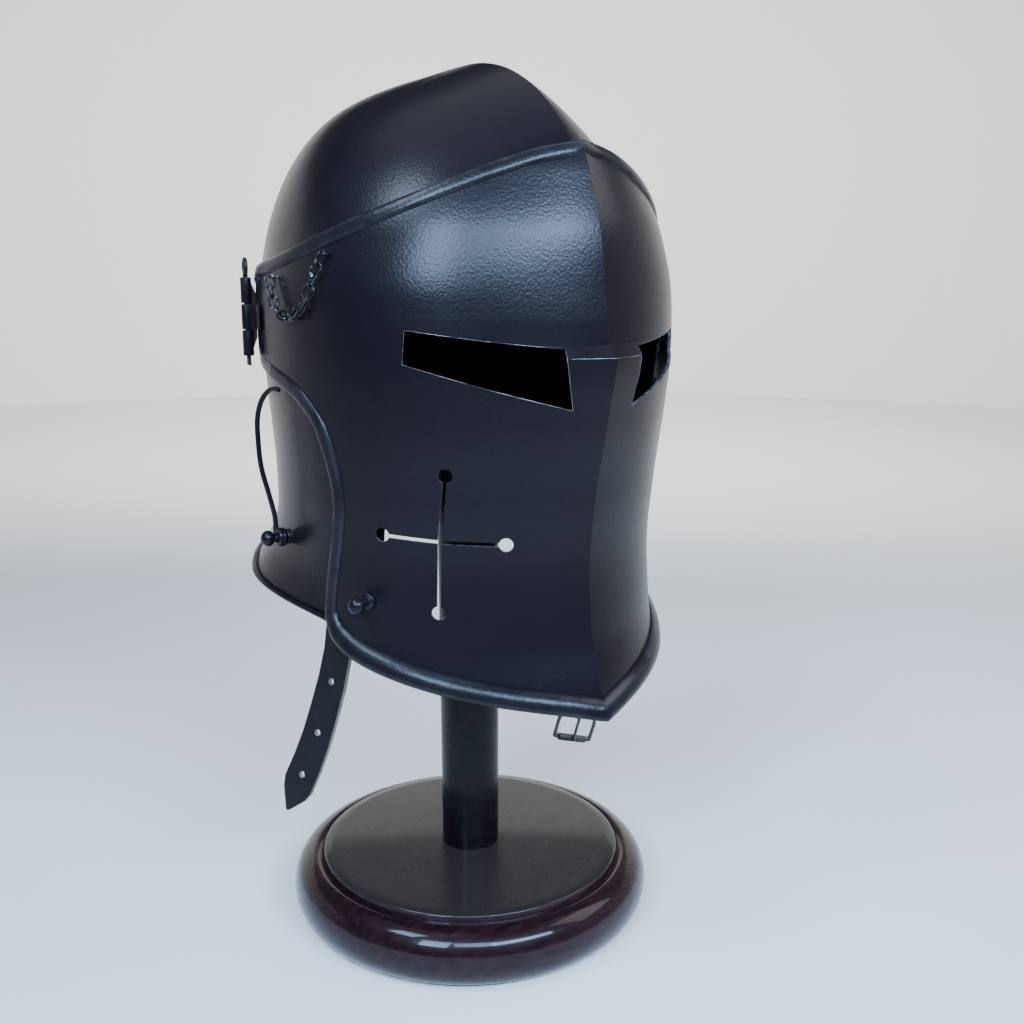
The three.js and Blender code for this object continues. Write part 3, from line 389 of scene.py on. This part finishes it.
def normal_of(face, u, v, step_u, step_v):
    across = face(u + step_u, v) - face(u - step_u, v)
    along = face(u, v + step_v) - face(u, v - step_v)
    normal = across.cross(along).normalized()
    point = face(u, v)
    outward = Vector((point.x, point.y, max(0, point.z - EYE_LINE / 1000)))
    return -normal if normal.dot(outward) < 0 else normal


def visor_normal(turn, height):
    return normal_of(visor_face, turn, height, 0.5, 1)


def skull_normal(turn, level):
    return normal_of(skull_face, turn, level, 0.5, 0.004)


print("nose tip at", [round(x, 4) for x in visor_face(0, height_at(NOSE_TIP))])

# %% [markdown]
# Every sheet and band below starts as a grid primitive. A grid has rows and columns, so each
# of its vertices can be put where a formula says, and its seam is merged afterwards.


# %% A grid put into shape
def only(piece):
    bpy.ops.object.select_all(action="DESELECT")
    piece.select_set(True)
    bpy.context.view_layer.objects.active = piece


def edited(piece, *steps):
    only(piece)
    bpy.ops.object.mode_set(mode="EDIT")
    bpy.ops.mesh.select_all(action="SELECT")
    for step in steps:
        step()
    bpy.ops.object.mode_set(mode="OBJECT")
    return piece


def merge():
    bpy.ops.mesh.remove_doubles(threshold=0.00001)


def face_out():
    bpy.ops.mesh.normals_make_consistent(inside=False)


def shaped_grid(name, columns, rows, place):
    bpy.ops.mesh.primitive_grid_add(x_subdivisions=columns, y_subdivisions=rows, size=1)
    piece = bpy.context.object
    piece.name = piece.data.name = name
    for vertex in piece.data.vertices:
        column = round((vertex.co.x + 0.5) * columns)
        row = round((vertex.co.y + 0.5) * rows)
        vertex.co = place(column, row)
    return piece


def modify(piece, kind, **settings):
    only(piece)
    modifier = piece.modifiers.new(kind.lower(), kind)
    for name, value in settings.items():
        setattr(modifier, name, value)
    bpy.ops.object.modifier_apply(modifier=modifier.name)
    return piece


def finished(piece, body, material, slot, *replaced, angle=30):
    only(piece)
    bpy.ops.object.transform_apply(location=True, rotation=True, scale=True)
    bpy.ops.object.shade_smooth_by_angle(angle=math.radians(angle))
    if not piece.data.materials:
        piece.data.materials.append(material)
    else:
        piece.data.materials[0] = material
    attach(piece, body)
    if replaced:
        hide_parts(*replaced)
    print(piece.name, len(piece.data.polygons), "faces")
    return piece


# %% [markdown]
# The visor is one sheet of plate. Its rows crowd near the nose shelf, where the form breaks
# sharply, and its columns crowd towards the keel. Solidify then gives the plate its thickness.

# %% Visor shell
half_columns, half_rows = 52, 74
even_levels = {round(-1 + i / half_rows, 5) for i in range(2 * half_rows + 1)}
row_levels = sorted(even_levels | {NOSE_TIP - 0.006, NOSE_TIP, SHELF_BACK, SHELF_BACK + 0.008})
row_levels = [level for level in row_levels if not NOSE_TIP < level < SHELF_BACK]


def visor_spot(column, row):
    level = row_levels[row]
    share = (column - half_columns) / half_columns
    edge = HINGE_TURN * between(VISOR_OUTLINE, 1, level)
    turn = math.copysign(abs(share) ** 1.15, share) * edge
    return visor_face(turn, height_at(level))


visor = shaped_grid("visor_shell", 2 * half_columns, len(row_levels) - 1, visor_spot)
edited(visor, merge, face_out)
outward = sum(p.normal.dot(p.center - Vector((0, 0, 0.34))) * p.area for p in visor.data.polygons)
if outward < 0:
    edited(visor, bpy.ops.mesh.flip_normals)
modify(visor, "SOLIDIFY", thickness=STEEL / 1000, offset=-1)
visor.data.materials.append(black_coat)
print("visor plate:", len(visor.data.polygons), "faces")

# %% [markdown]
# The slits and the cross are sawn through the plate. A cutter of the same outline is pushed
# through it, and the cutter's own finish stays on the fresh walls of the cut.

# %% Cutters for the slits and the cross
# columns: turn in degrees, height from the eye line
SLIT = [(49, -4.5), (30, -9.5), (11.5, -13.5), (9.5, -43.5), (28, -33.5), (50, -21)]
SLIT_TURN = 28
CROSS_TURN, CROSS_HEIGHT = 40.5, -110.5
CROSS_ENDS = [(39.5, -76), (41.5, -148), (57, -108.5), (23.5, -112)]
BREATH_HOLE, BREATH_SLOT = 3.7, 2.1


def flattened(turn, height, spot):
    point = visor_face(*spot) * 1000
    along = point.x * math.cos(math.radians(turn)) - point.y * math.sin(math.radians(turn))
    return along, point.z - EYE_LINE - height


def cutter(outline, turn, height):
    bpy.ops.mesh.primitive_circle_add(vertices=len(outline), radius=0.01, fill_type="NGON")
    piece = bpy.context.object
    for vertex, (x, y) in zip(piece.data.vertices, outline):
        vertex.co = (x / 1000, y / 1000, 0)
    move = {"value": (0, 0, 0.1)}
    edited(piece, lambda: bpy.ops.mesh.extrude_region_move(TRANSFORM_OT_translate=move), face_out)
    depth = Vector((-math.sin(math.radians(turn)), -math.cos(math.radians(turn)), 0))
    up = Vector((0, 0, 1))
    matrix = Matrix((up.cross(depth), up, depth)).transposed().to_4x4()
    matrix.translation = Vector((0, 0, (height + EYE_LINE) / 1000)) + depth * 0.055
    piece.data.transform(matrix)
    piece.data.materials.append(worn_edge)
    return piece


def cut(piece, tool):
    only(piece)
    modifier = piece.modifiers.new("cut", "BOOLEAN")
    modifier.operation, modifier.solver, modifier.object = "DIFFERENCE", "EXACT", tool
    modifier.material_mode = "TRANSFER"
    bpy.ops.object.modifier_apply(modifier="cut")
    bpy.data.objects.remove(tool)


def slit_outline(sign):
    return [flattened(sign * SLIT_TURN, 0, (sign * turn, height)) for turn, height in SLIT]


for sign in (1, -1):
    cut(visor, cutter(slit_outline(sign), sign * SLIT_TURN, 0))

cross = [flattened(CROSS_TURN, CROSS_HEIGHT, spot) for spot in CROSS_ENDS]
for x, y in cross:
    length = math.hypot(x, y)
    a, b = -y / length * BREATH_SLOT / 2, x / length * BREATH_SLOT / 2
    slot = [(a, b), (-a, -b), (x - a, y - b), (x + a, y + b)]
    cut(visor, cutter(slot, CROSS_TURN, CROSS_HEIGHT))
ring_sides, ring_phase = 32, 0.37
for x, y in cross:
    angles = [math.tau * (i + ring_phase) / ring_sides for i in range(ring_sides)]
    ring = [(x + BREATH_HOLE * math.cos(a), y + BREATH_HOLE * math.sin(a)) for a in angles]
    cut(visor, cutter(ring, CROSS_TURN, CROSS_HEIGHT))
print("visor after the cuts:", len(visor.data.polygons), "faces")
finished(visor, "visor", black_coat, "black_steel", "visor", angle=9)

# %% [markdown]
# The coat is rubbed off where the plate was sawn and along the nose shelf. A hair-thin line of
# bare steel is laid on each of those edges. A straight saw cut is followed by finding, for
# each point of it, the turn at which the visor lies under that point.

# %% Bare steel along the slits and the nose shelf
bare = Finish("bare steel line", Metallic=0.6)
patch = bare.step(bare.noise(90, 4, 0.6), 0.34, 0.6)
bare_steel = bare.surface(
    Base_Color=bare.mix(patch, (0.01, 0.01, 0.012, 1), (0.2, 0.2, 0.21, 1)), Roughness=0.35)
SLIT_LINE, SHELF_LINE, LINE_STEPS = 0.32, 0.4, 12


def turn_under(along, height, around):
    low, high = around - 45, around + 45
    for _ in range(30):
        middle = (low + high) / 2
        if flattened(around, 0, (middle, height))[0] > along:
            low = middle
        else:
            high = middle
    return (low + high) / 2


def bare_line(name, spots, closed, width):
    curve = bpy.data.curves.new(name, "CURVE")
    curve.dimensions = "3D"
    curve.bevel_depth, curve.bevel_resolution = width / 2000, 1
    spline = curve.splines.new("POLY")
    spline.points.add(len(spots) - 1)
    spline.use_cyclic_u = closed
    for point, spot in zip(spline.points, spots):
        point.co = (*visor_face(*spot), 1)
    line = bpy.data.objects.new(name, curve)
    bpy.context.scene.collection.objects.link(line)
    only(line)
    bpy.ops.object.convert(target="MESH")
    return finished(bpy.context.object, "visor", bare_steel, "black_steel", angle=60)


for side, sign in (("right", 1), ("left", -1)):
    corners = slit_outline(sign)
    spots = []
    for (x, y), (next_x, next_y) in zip(corners, corners[1:] + corners[:1]):
        for i in range(LINE_STEPS):
            along = x + (next_x - x) * i / LINE_STEPS
            height = y + (next_y - y) * i / LINE_STEPS
            spots.append((turn_under(along, height, sign * SLIT_TURN), height))
    bare_line("slit_line_" + side, spots, True, SLIT_LINE)
shelf_height = height_at(NOSE_TIP)
bare_line("shelf_line", [(turn, shelf_height) for turn in range(-11, 12)], False, SHELF_LINE)

# %% [markdown]
# A flat bar is welded along the visor's whole edge to stiffen it, and it grows into a heavy
# rolled lip below. Its section is swept round the outline on one closed grid.

# %% Band and lip round the visor
BAND_WIDTH, BAND_PROUD, LIP_WIDTH, LIP_PROUD = 7, 1.7, 10, 4.4
# columns: out as a share of the width, up as a share of the height, how worn it is
BAND_SECTION = [
    (0.02, -0.5, 0), (0.1, 0.0, 0.1), (0.1, 0.45, 0.35), (0.02, 0.78, 0.9),
    (-0.12, 0.97, 0.5), (-0.3, 1.0, 0.15), (-0.5, 0.98, 0.1), (-0.72, 0.86, 0.3),
    (-0.88, 0.55, 0.6), (-0.96, 0.25, 0.2), (-1.0, 0.06, 0), (-1.0, -0.5, 0),
]
LIP_FULL, LIP_START = -0.88, -0.72  # levels between which the band grows into the lip
LIP_OVERHANG = 1.5
HIDDEN_RISE = 0.12  # the band is thin where the hinge lies over it


def outline_stations(spacing):
    half = []
    level = 1.0
    while level > -1:
        half.append(level)
        level -= spacing
    half.append(-1.0)
    right = [(HINGE_TURN * between(VISOR_OUTLINE, 1, level), level) for level in half]
    return right + [(-turn, level) for turn, level in right[-2:0:-1]]


def outline_point(turn, level):
    return visor_face(turn, height_at(level))


def even_loop(stations, step):
    points = [outline_point(*station) for station in stations]
    count = len(points)
    lengths = [(points[(i + 1) % count] - points[i]).length for i in range(count)]
    total = sum(lengths)
    wanted = round(total / step)
    spots, i, walked = [], 0, 0.0
    for k in range(wanted):
        goal = total * k / wanted
        while walked + lengths[i] < goal:
            walked += lengths[i]
            i += 1
        f = (goal - walked) / lengths[i]
        here, there = stations[i], stations[(i + 1) % count]
        spots.append(tuple(p + (q - p) * f for p, q in zip(here, there)))
    return spots


loop = even_loop(outline_stations(0.0015), 0.0024)


def band_spot(column, row):
    turn, level = loop[column % len(loop)]
    height = height_at(level)
    before, after = loop[(column - 2) % len(loop)], loop[(column + 2) % len(loop)]
    point, normal = visor_face(turn, height), visor_normal(turn, height)
    along = (outline_point(*after) - outline_point(*before)).normalized()
    sideways = along.cross(normal).normalized()
    if sideways.dot(point - visor_face(turn * 0.85, height * 0.85)) < 0:
        sideways.negate()
    lip = 1 - smooth(LIP_FULL, LIP_START, level)
    rise = HIDDEN_RISE if abs(turn) > HINGE_TURN * 0.93 and level < 0.2 else 1
    width = BAND_WIDTH + (LIP_WIDTH - BAND_WIDTH) * lip
    proud = (BAND_PROUD + (LIP_PROUD - BAND_PROUD) * lip) * rise
    out, up, _ = BAND_SECTION[row % len(BAND_SECTION)]
    lift = up * proud if up > 0 else up * STEEL
    aside = out * width + lip * LIP_OVERHANG * max(0, up)
    return point + sideways * aside / 1000 + normal * lift / 1000


band = shaped_grid("visor_band", len(loop), len(BAND_SECTION), band_spot)
worn = band.data.attributes.new("wear", "FLOAT", "POINT")
for vertex in band.data.vertices:
    row = vertex.index // (len(loop) + 1)
    worn.data[vertex.index].value = BAND_SECTION[row % len(BAND_SECTION)][2]
edited(band, merge, face_out)
finished(band, "visor", band_coat, "black_steel", angle=60)

# %% [markdown]
# The skull is one deep-drawn shell with a low comb. Like the visor it starts as a grid, wound
# right round and closed at the crown, and a plain arch is sawn out for the face.

# %% Skull shell
skull_columns = 180
skull_levels = [-1 + i / 46 for i in range(46)] + [i / 64 for i in range(65)]


def skull_spot(column, row):
    turn = 360 * (column % skull_columns) / skull_columns - 180
    level = skull_levels[row]
    if level >= 1:
        return skull_face(0, 1)
    return skull_face(turn, level)


skull = shaped_grid("skull_shell", skull_columns, len(skull_levels) - 1, skull_spot)
edited(skull, merge, face_out)
modify(skull, "SOLIDIFY", thickness=STEEL / 1000, offset=-1)
skull.data.materials.append(black_coat)

OPENING_HALF_WIDTH, OPENING_TOP = 86, 30
half = OPENING_HALF_WIDTH
arch = half * 0.55
spring = EYE_LINE + OPENING_TOP - arch
foot = EYE_LINE - FACE_DROP - OPENING_TOP
arch_angles = [math.radians(a) for a in range(0, 181, 9)]
face_hole = [(-half, foot), (half, foot)]
face_hole += [(half * math.cos(a), spring + arch * math.sin(a)) for a in arch_angles]
saw = cutter([(x, y - EYE_LINE) for x, y in face_hole], 0, 0)
saw.data.transform(Matrix.Translation((0, 0.055, 0)))
for vertex in saw.data.vertices:
    if vertex.co.y < -0.05:
        vertex.co.y = -0.2  # the saw's front end is drawn well past the face
cut(skull, saw)
finished(skull, "stand_and_skull", black_coat, "black_steel", "skull", angle=25)

# %% [markdown]
# The skull's lower edge is turned out over a wire, so it ends in a soft dark roll.

# %% Rolled rim of the skull
RIM_FROM = 56
ROLL_HALF_WIDTH, ROLL_HALF_HEIGHT, ROLL_OUT, ROLL_UP = 1.9, 1.5, 0.9, 0.7
rim_steps, roll_sides = 240, 12


def rim_spot(column, row):
    turn = RIM_FROM + (360 - 2 * RIM_FROM) * column / rim_steps
    turn = turn if turn <= 180 else turn - 360
    edge = skull_face(turn, -1)
    out = Vector((edge.x, edge.y, 0)).normalized()
    angle = math.tau * row / roll_sides
    aside = out * (math.cos(angle) * ROLL_HALF_WIDTH + ROLL_OUT)
    above = Vector((0, 0, 1)) * (math.sin(angle) * ROLL_HALF_HEIGHT + ROLL_UP)
    return edge + (aside + above) / 1000


rim = shaped_grid("skull_rim", rim_steps, roll_sides, rim_spot)
edited(rim, merge, face_out)
finished(rim, "stand_and_skull", black_coat, "black_steel", angle=60)

# %% [markdown]
# Small wires and plates keep the frame's own form. Each is a copy of its CAD node, merged into
# one skin. A round wire is subdivided, then swollen a little because subdividing thins it.


# %% Copies of the small hardware
def copy_of(node, name):
    piece = nodes[node].copy()
    piece.data = nodes[node].data.copy()
    for key in list(piece.keys()):
        del piece[key]
    piece.parent = None
    bpy.context.scene.collection.objects.link(piece)
    piece.name = piece.data.name = name
    piece.data.materials.clear()
    return edited(piece, merge, lambda: bpy.ops.mesh.customdata_custom_splitnormals_clear())


def quads():
    bpy.ops.mesh.tris_convert_to_quads(
        face_threshold=math.radians(40), shape_threshold=math.radians(60))


def round_wire(node, body, material, slot, wire):
    piece = copy_of(node, node + "_round")
    edited(piece, quads)
    modify(piece, "SUBSURF", levels=2, render_levels=2)
    edited(piece, lambda: bpy.ops.transform.shrink_fatten(value=wire / 1000))
    return finished(piece, body, material, slot, node, angle=60)


def soft_edged(node, body, material, slot, width):
    piece = copy_of(node, node + "_soft")
    edited(piece, lambda: bpy.ops.mesh.dissolve_limited(angle_limit=math.radians(2)))
    modify(piece, "BEVEL", width=width / 1000, segments=3, limit_method="ANGLE",
           angle_limit=math.radians(28), harden_normals=False)
    return finished(piece, body, material, slot, node, angle=40)


for side in ("right", "left"):
    soft_edged("hinge_plate_" + side, "visor", black_coat, "black_steel", 0.35)
    soft_edged("hinge_leaf_" + side, "visor", black_coat, "black_steel", 0.25)
    round_wire("hinge_pin_" + side, "visor", black_coat, "black_steel", 0.12)
round_wire("lock_hook", "hook", black_coat, "black_steel", 0.2)

# %% [markdown]
# Turned pieces are drawn out ring by ring: a filled circle is extruded along its axis and
# scaled at each step, the way a spindle is read off its template.


# %% A turned piece
def turned(name, rows, sides, frame_matrix=None):
    radius, height = rows[0]
    bpy.ops.mesh.primitive_circle_add(vertices=sides, radius=radius / 1000, fill_type="NGON",
                                      location=(0, 0, height / 1000))
    piece = bpy.context.object
    piece.name = piece.data.name = name
    bpy.ops.object.transform_apply(location=True)
    bpy.ops.object.mode_set(mode="EDIT")
    bpy.ops.mesh.select_all(action="SELECT")
    for (r, z), (next_r, next_z) in zip(rows, rows[1:]):
        move = {"value": (0, 0, (next_z - z) / 1000)}
        bpy.ops.mesh.extrude_region_move(TRANSFORM_OT_translate=move)
        scale = next_r / r
        bpy.ops.transform.resize(value=(scale, scale, 1), center_override=(0, 0, next_z / 1000))
    bpy.ops.mesh.select_all(action="SELECT")
    face_out()
    bpy.ops.object.mode_set(mode="OBJECT")
    if frame_matrix is not None:
        piece.data.transform(frame_matrix)
    return piece


def rounded_rows(rows):
    """Each corner of a profile is cut into a short arc."""
    steps = 4
    made = [rows[0]]
    for before, here, after in zip(rows, rows[1:], rows[2:]):
        cut_back = here[2] if len(here) > 2 else 0
        if not cut_back:
            made.append(here[:2])
            continue
        a, p, b = Vector(before[:2]), Vector(here[:2]), Vector(after[:2])
        start = p + (a - p).normalized() * cut_back
        end = p + (b - p).normalized() * cut_back
        for i in range(steps + 1):
            t = i / steps
            q = start * (1 - t) ** 2 + p * 2 * t * (1 - t) + end * t ** 2
            made.append((q.x, q.y))
    made.append(rows[-1])
    return [tuple(row[:2]) for row in made]


# %% [markdown]
# The base is a bullnose disc with a groove and a raised flat top, turned on a lathe.

# %% Stand base
BASE_RADIUS, BASE_HEIGHT, DISC_RADIUS = 110, 38, 92
GROOVE_DEPTH, GROOVE_WIDTH, FOOT_INSET = 3, 3, 10
rim_top = BASE_HEIGHT - GROOVE_DEPTH
bull = BASE_RADIUS - DISC_RADIUS - GROOVE_WIDTH
bull_steps = 28
base_rows = [(BASE_RADIUS - FOOT_INSET, 0.0)]
for i in range(1, bull_steps):
    angle = -math.pi / 2 + math.pi * i / bull_steps
    radius = BASE_RADIUS - bull + 1 + (bull - 1) * math.cos(angle)
    base_rows.append((radius, rim_top / 2 * (1 + math.sin(angle))))
# columns: out from the disc's edge, up from the rim's top
base_rows += [(DISC_RADIUS + out, rim_top + up) for out, up in (
    (2.6, -0.3), (1.2, -1.2), (0.2, -1.5), (0, -1.0))]
# columns: in from the disc's edge, down from the disc's face
base_rows += [(DISC_RADIUS - inward, BASE_HEIGHT - down) for inward, down in (
    (0.1, 1.2), (0.5, 0.4), (1.4, 0), (6, 0), (DISC_RADIUS - 2, 0))]
base = turned("stand_base_turned", base_rows, 160)
finished(base, "stand_and_skull", mahogany, "lacquer", "stand_base", angle=40)

# %% Stand post and its head
POST_RADIUS, POST_TAPER, HEAD_RADIUS, HEAD_HEIGHT = 19, 1.5, 36, 26
HEAD_LIFT = 0.9
head_top = EYE_LINE + DOME_RISE - STEEL + HEAD_LIFT
# columns: share of the head's radius, share of its height below the top, corner
HEAD_ROWS = [(0.8, 1, 2), (1, 0.72, 3), (0.93, 0.42, 3), (0.7, 0.18, 3), (0.36, 0.04, 2)]
post_rows = rounded_rows([
    (POST_RADIUS - POST_TAPER, BASE_HEIGHT), (POST_RADIUS, head_top - HEAD_HEIGHT - 6, 3),
    *((HEAD_RADIUS * r, head_top - HEAD_HEIGHT * down, corner) for r, down, corner in HEAD_ROWS),
    (1, head_top)])
post = turned("stand_post_turned", post_rows, 72)
finished(post, "stand_and_skull", ebony, "black_wood", "stand_post", angle=40)

# %% [markdown]
# Studs and rivets are turned too. Each is placed by the direction in which its plate faces.


# %% Where a stud stands
def stud_frame(point, normal):
    z = Vector((normal.x, normal.y, 0)).normalized()
    y = Vector((0, 0, 1))
    matrix = Matrix((y.cross(z), y, z)).transposed().to_4x4()
    matrix.translation = point
    return matrix


STUD_BALL, STUD_NECK, STUD_COLLAR = 4.6, 2.4, 4.4
BALL_FLATTENING = 0.85


def stud_rows(root, reach):
    rows = [(STUD_COLLAR, root), (STUD_COLLAR, root + 2.2, 0.6), (STUD_NECK, root + 2.8, 0.4),
            (STUD_NECK, reach - STUD_BALL * 1.75, 0.4)]
    half_ball = STUD_BALL * BALL_FLATTENING
    steps, first = 14, -1.02
    for i in range(steps):
        angle = first + (math.pi / 2 - first) * i / steps
        rows.append((STUD_BALL * math.cos(angle), reach - half_ball + half_ball * math.sin(angle)))
    return rounded_rows(rows + [(0.3, reach)])


LOCK_SPOT, LOCK_ROOT, LOCK_REACH = (101.5, -124), 1.2, 18
CATCH_SPOT, CATCH_ROOT, CATCH_REACH = (62, -144.6), 0.3, 15.5
lock_turn, lock_height = LOCK_SPOT
lock_level = lock_height / (RIM_DROP + RIM_TILT * (1 + math.cos(math.radians(lock_turn))) / 2)
lock_place = stud_frame(skull_face(lock_turn, lock_level), skull_normal(lock_turn, lock_level))
lock = turned("lock_stud_ball", stud_rows(LOCK_ROOT, LOCK_REACH), 40, lock_place)
finished(lock, "stand_and_skull", black_coat, "black_steel", "lock_stud", angle=45)

catch_place = stud_frame(visor_face(*CATCH_SPOT), visor_normal(*CATCH_SPOT))
catch = turned("visor_stud_ball", stud_rows(CATCH_ROOT, CATCH_REACH), 40, catch_place)
finished(catch, "visor", black_coat, "black_steel", "visor_stud", angle=45)

# %% Pivot and strap rivets
for side in ("right", "left"):
    soft_edged("pivot_rivet_" + side, "stand_and_skull", black_coat, "black_steel", 0.3)
    soft_edged("strap_rivet_" + side, "stand_and_skull", nickel, "nickel", 0.3)

# %% [markdown]
# A curb chain is one link repeated. The link is a torus drawn out to an oval, and each copy
# lies where its CAD link lies, along that link's longest and shortest direction.

# %% Chain links
LINKS_PER_SIDE = 13
LINK_RADIUS, LINK_WIRE, LINK_STRETCH = 0.0023, 0.00072, 0.0014
bpy.ops.mesh.primitive_torus_add(
    major_segments=28, minor_segments=10, major_radius=LINK_RADIUS, minor_radius=LINK_WIRE)
master = bpy.context.object
for vertex in master.data.vertices:
    x = vertex.co.x
    vertex.co.x += math.copysign(LINK_STRETCH, x) * min(1, abs(x) / 0.0006)


def link_place(node):
    points = np.array([v.co for v in nodes[node].data.vertices])
    centre = points.mean(0)
    _, axes = np.linalg.eigh(np.cov((points - centre).T))
    x, z = Vector(axes[:, 2]), Vector(axes[:, 0])
    matrix = Matrix((x, z.cross(x), z)).transposed().to_4x4()
    matrix.translation = Vector(centre)
    return matrix


for side in ("right", "left"):
    for number in range(1, LINKS_PER_SIDE + 1):
        node = f"chain_{side}_{number:02d}"
        link = master.copy()
        link.data = master.data.copy()
        bpy.context.scene.collection.objects.link(link)
        link.name = link.data.name = f"link_{side}_{number:02d}"
        link.data.transform(link_place(node))
        finished(link, "visor", chain_steel, "chain_steel", node, angle=60)
    for end in ("rear", "front"):
        round_wire(f"chain_staple_{side}_{end}", "visor", chain_steel, "chain_steel", 0.08)
bpy.data.objects.remove(master)

# %% [markdown]
# The strap is cut from one hide. Its broad faces are black, and its narrow cut sides stay raw.


# %% Straps
def strap(side):
    piece = copy_of("strap_" + side, f"strap_{side}_leather")
    edited(piece, lambda: bpy.ops.mesh.dissolve_limited(angle_limit=math.radians(1)))
    piece.data.materials.append(strap_face)
    piece.data.materials.append(strap_edge)
    modify(piece, "BEVEL", width=0.0005, segments=3, limit_method="ANGLE",
           angle_limit=math.radians(50))
    faces = piece.data.polygons
    broad = [face for face in faces if face.area > BROAD_AREA]
    for face in faces:
        nearest = min(broad, key=lambda other: (other.center - face.center).length)
        face.material_index = 0 if abs(face.normal.dot(nearest.normal)) > 0.55 else 1
    finished(piece, "stand_and_skull", strap_face, "strap_leather", "strap_" + side, angle=25)


BROAD_AREA = 0.00004  # square metres: only a strap's broad faces are larger
strap("right")
strap("left")

# %% Buckle
round_wire("buckle_frame", "stand_and_skull", nickel, "nickel", 0.14)
soft_edged("buckle_roller", "roller", nickel, "nickel", 0.25)
round_wire("buckle_tongue", "tongue", nickel, "nickel", 0.1)

# %% [markdown]
# The studio is a pale floor with a curved paper wall behind it, and the camera's side is left
# dark, so the black coat stays black. Each soft light was put where its sheen is seen: the
# front window makes the broad blue sheen on the brow, the high one that on the skull.

# %% Floor and paper wall
paper = Finish("pale paper", Roughness=0.9, Specular_IOR_Level=0.1)
paper.surface(Base_Color=(0.94, 0.92, 0.88, 1))
bpy.ops.mesh.primitive_plane_add(size=14, location=(0, 0, 0))
floor = bpy.context.object
floor.name = "floor"
WALL_RADIUS, WALL_HEIGHT = 3, 1.6
bpy.ops.mesh.primitive_cylinder_add(vertices=96, radius=WALL_RADIUS, depth=WALL_HEIGHT,
                                    end_fill_type="NOTHING", location=(0, 0, WALL_HEIGHT / 2))
wall = bpy.context.object
wall.name = "wall"
camera_side = Vector((-0.62, -0.78, 0))
bpy.ops.object.mode_set(mode="EDIT")
bpy.ops.mesh.select_all(action="DESELECT")
bpy.ops.object.mode_set(mode="OBJECT")
for face in wall.data.polygons:
    face.select = face.center.normalized().dot(camera_side) > 0.15
bpy.ops.object.mode_set(mode="EDIT")
bpy.ops.mesh.delete(type="FACE")
bpy.ops.object.mode_set(mode="OBJECT")
for sheet in (floor, wall):
    sheet.data.materials.append(paper.material)

# %% World and soft lights
world = bpy.data.worlds.new("studio")
world.use_nodes = True
sky = world.node_tree.nodes["Background"]
sky.inputs["Color"].default_value = (0.8, 0.88, 1.0, 1)
sky.inputs["Strength"].default_value = 0.04
bpy.context.scene.world = world


def soft_light(name, place, aim, size, power, color, spread=180):
    data = bpy.data.lights.new(name, "AREA")
    data.shape, data.size, data.size_y = "RECTANGLE", size[0], size[1]
    data.energy, data.color, data.spread = power, color, math.radians(spread)
    light = bpy.data.objects.new(name, data)
    bpy.context.scene.collection.objects.link(light)
    light.location = place
    light.rotation_euler = (Vector(aim) - Vector(place)).to_track_quat("-Z", "Y").to_euler()


HELMET = (0, -0.02, 0.38)
WINDOW_BLUE = (0.47, 0.66, 1.0)
soft_light("front window", (0.02, -1.45, 1.12), HELMET, (1.1, 0.3), 9.5, WINDOW_BLUE, 70)
soft_light("middle window", (-0.72, -1.24, 1.14), HELMET, (0.7, 0.4), 4.0, WINDOW_BLUE, 70)
soft_light("left window", (-1.22, -0.8, 1.12), HELMET, (0.5, 0.6), 6.2, WINDOW_BLUE, 70)
soft_light("high window", (-1.05, -0.05, 1.55), HELMET, (0.45, 0.45), 2.6, (0.6, 0.78, 1.0), 70)
soft_light("ceiling", (0.2, 0.5, 2.6), (0.2, 0.5, 0), (2.6, 2.2), 12, (0.93, 0.96, 1.0))
soft_light("right window", (1.5, -0.9, 1.7), (0.1, 0, 0.1), (1.2, 1.2), 17, (1.0, 0.98, 0.95))
soft_light("wall wash", (0.7, 1.0, 1.25), (1.9, 2.4, 0.5), (1.8, 0.5), 42, (0.97, 0.98, 1.0))
soft_light("left wall wash", (-0.7, 1.1, 1.25), (-1.5, 2.6, 0.5), (1.2, 0.5), 8, (0.97, 0.98, 1.0))
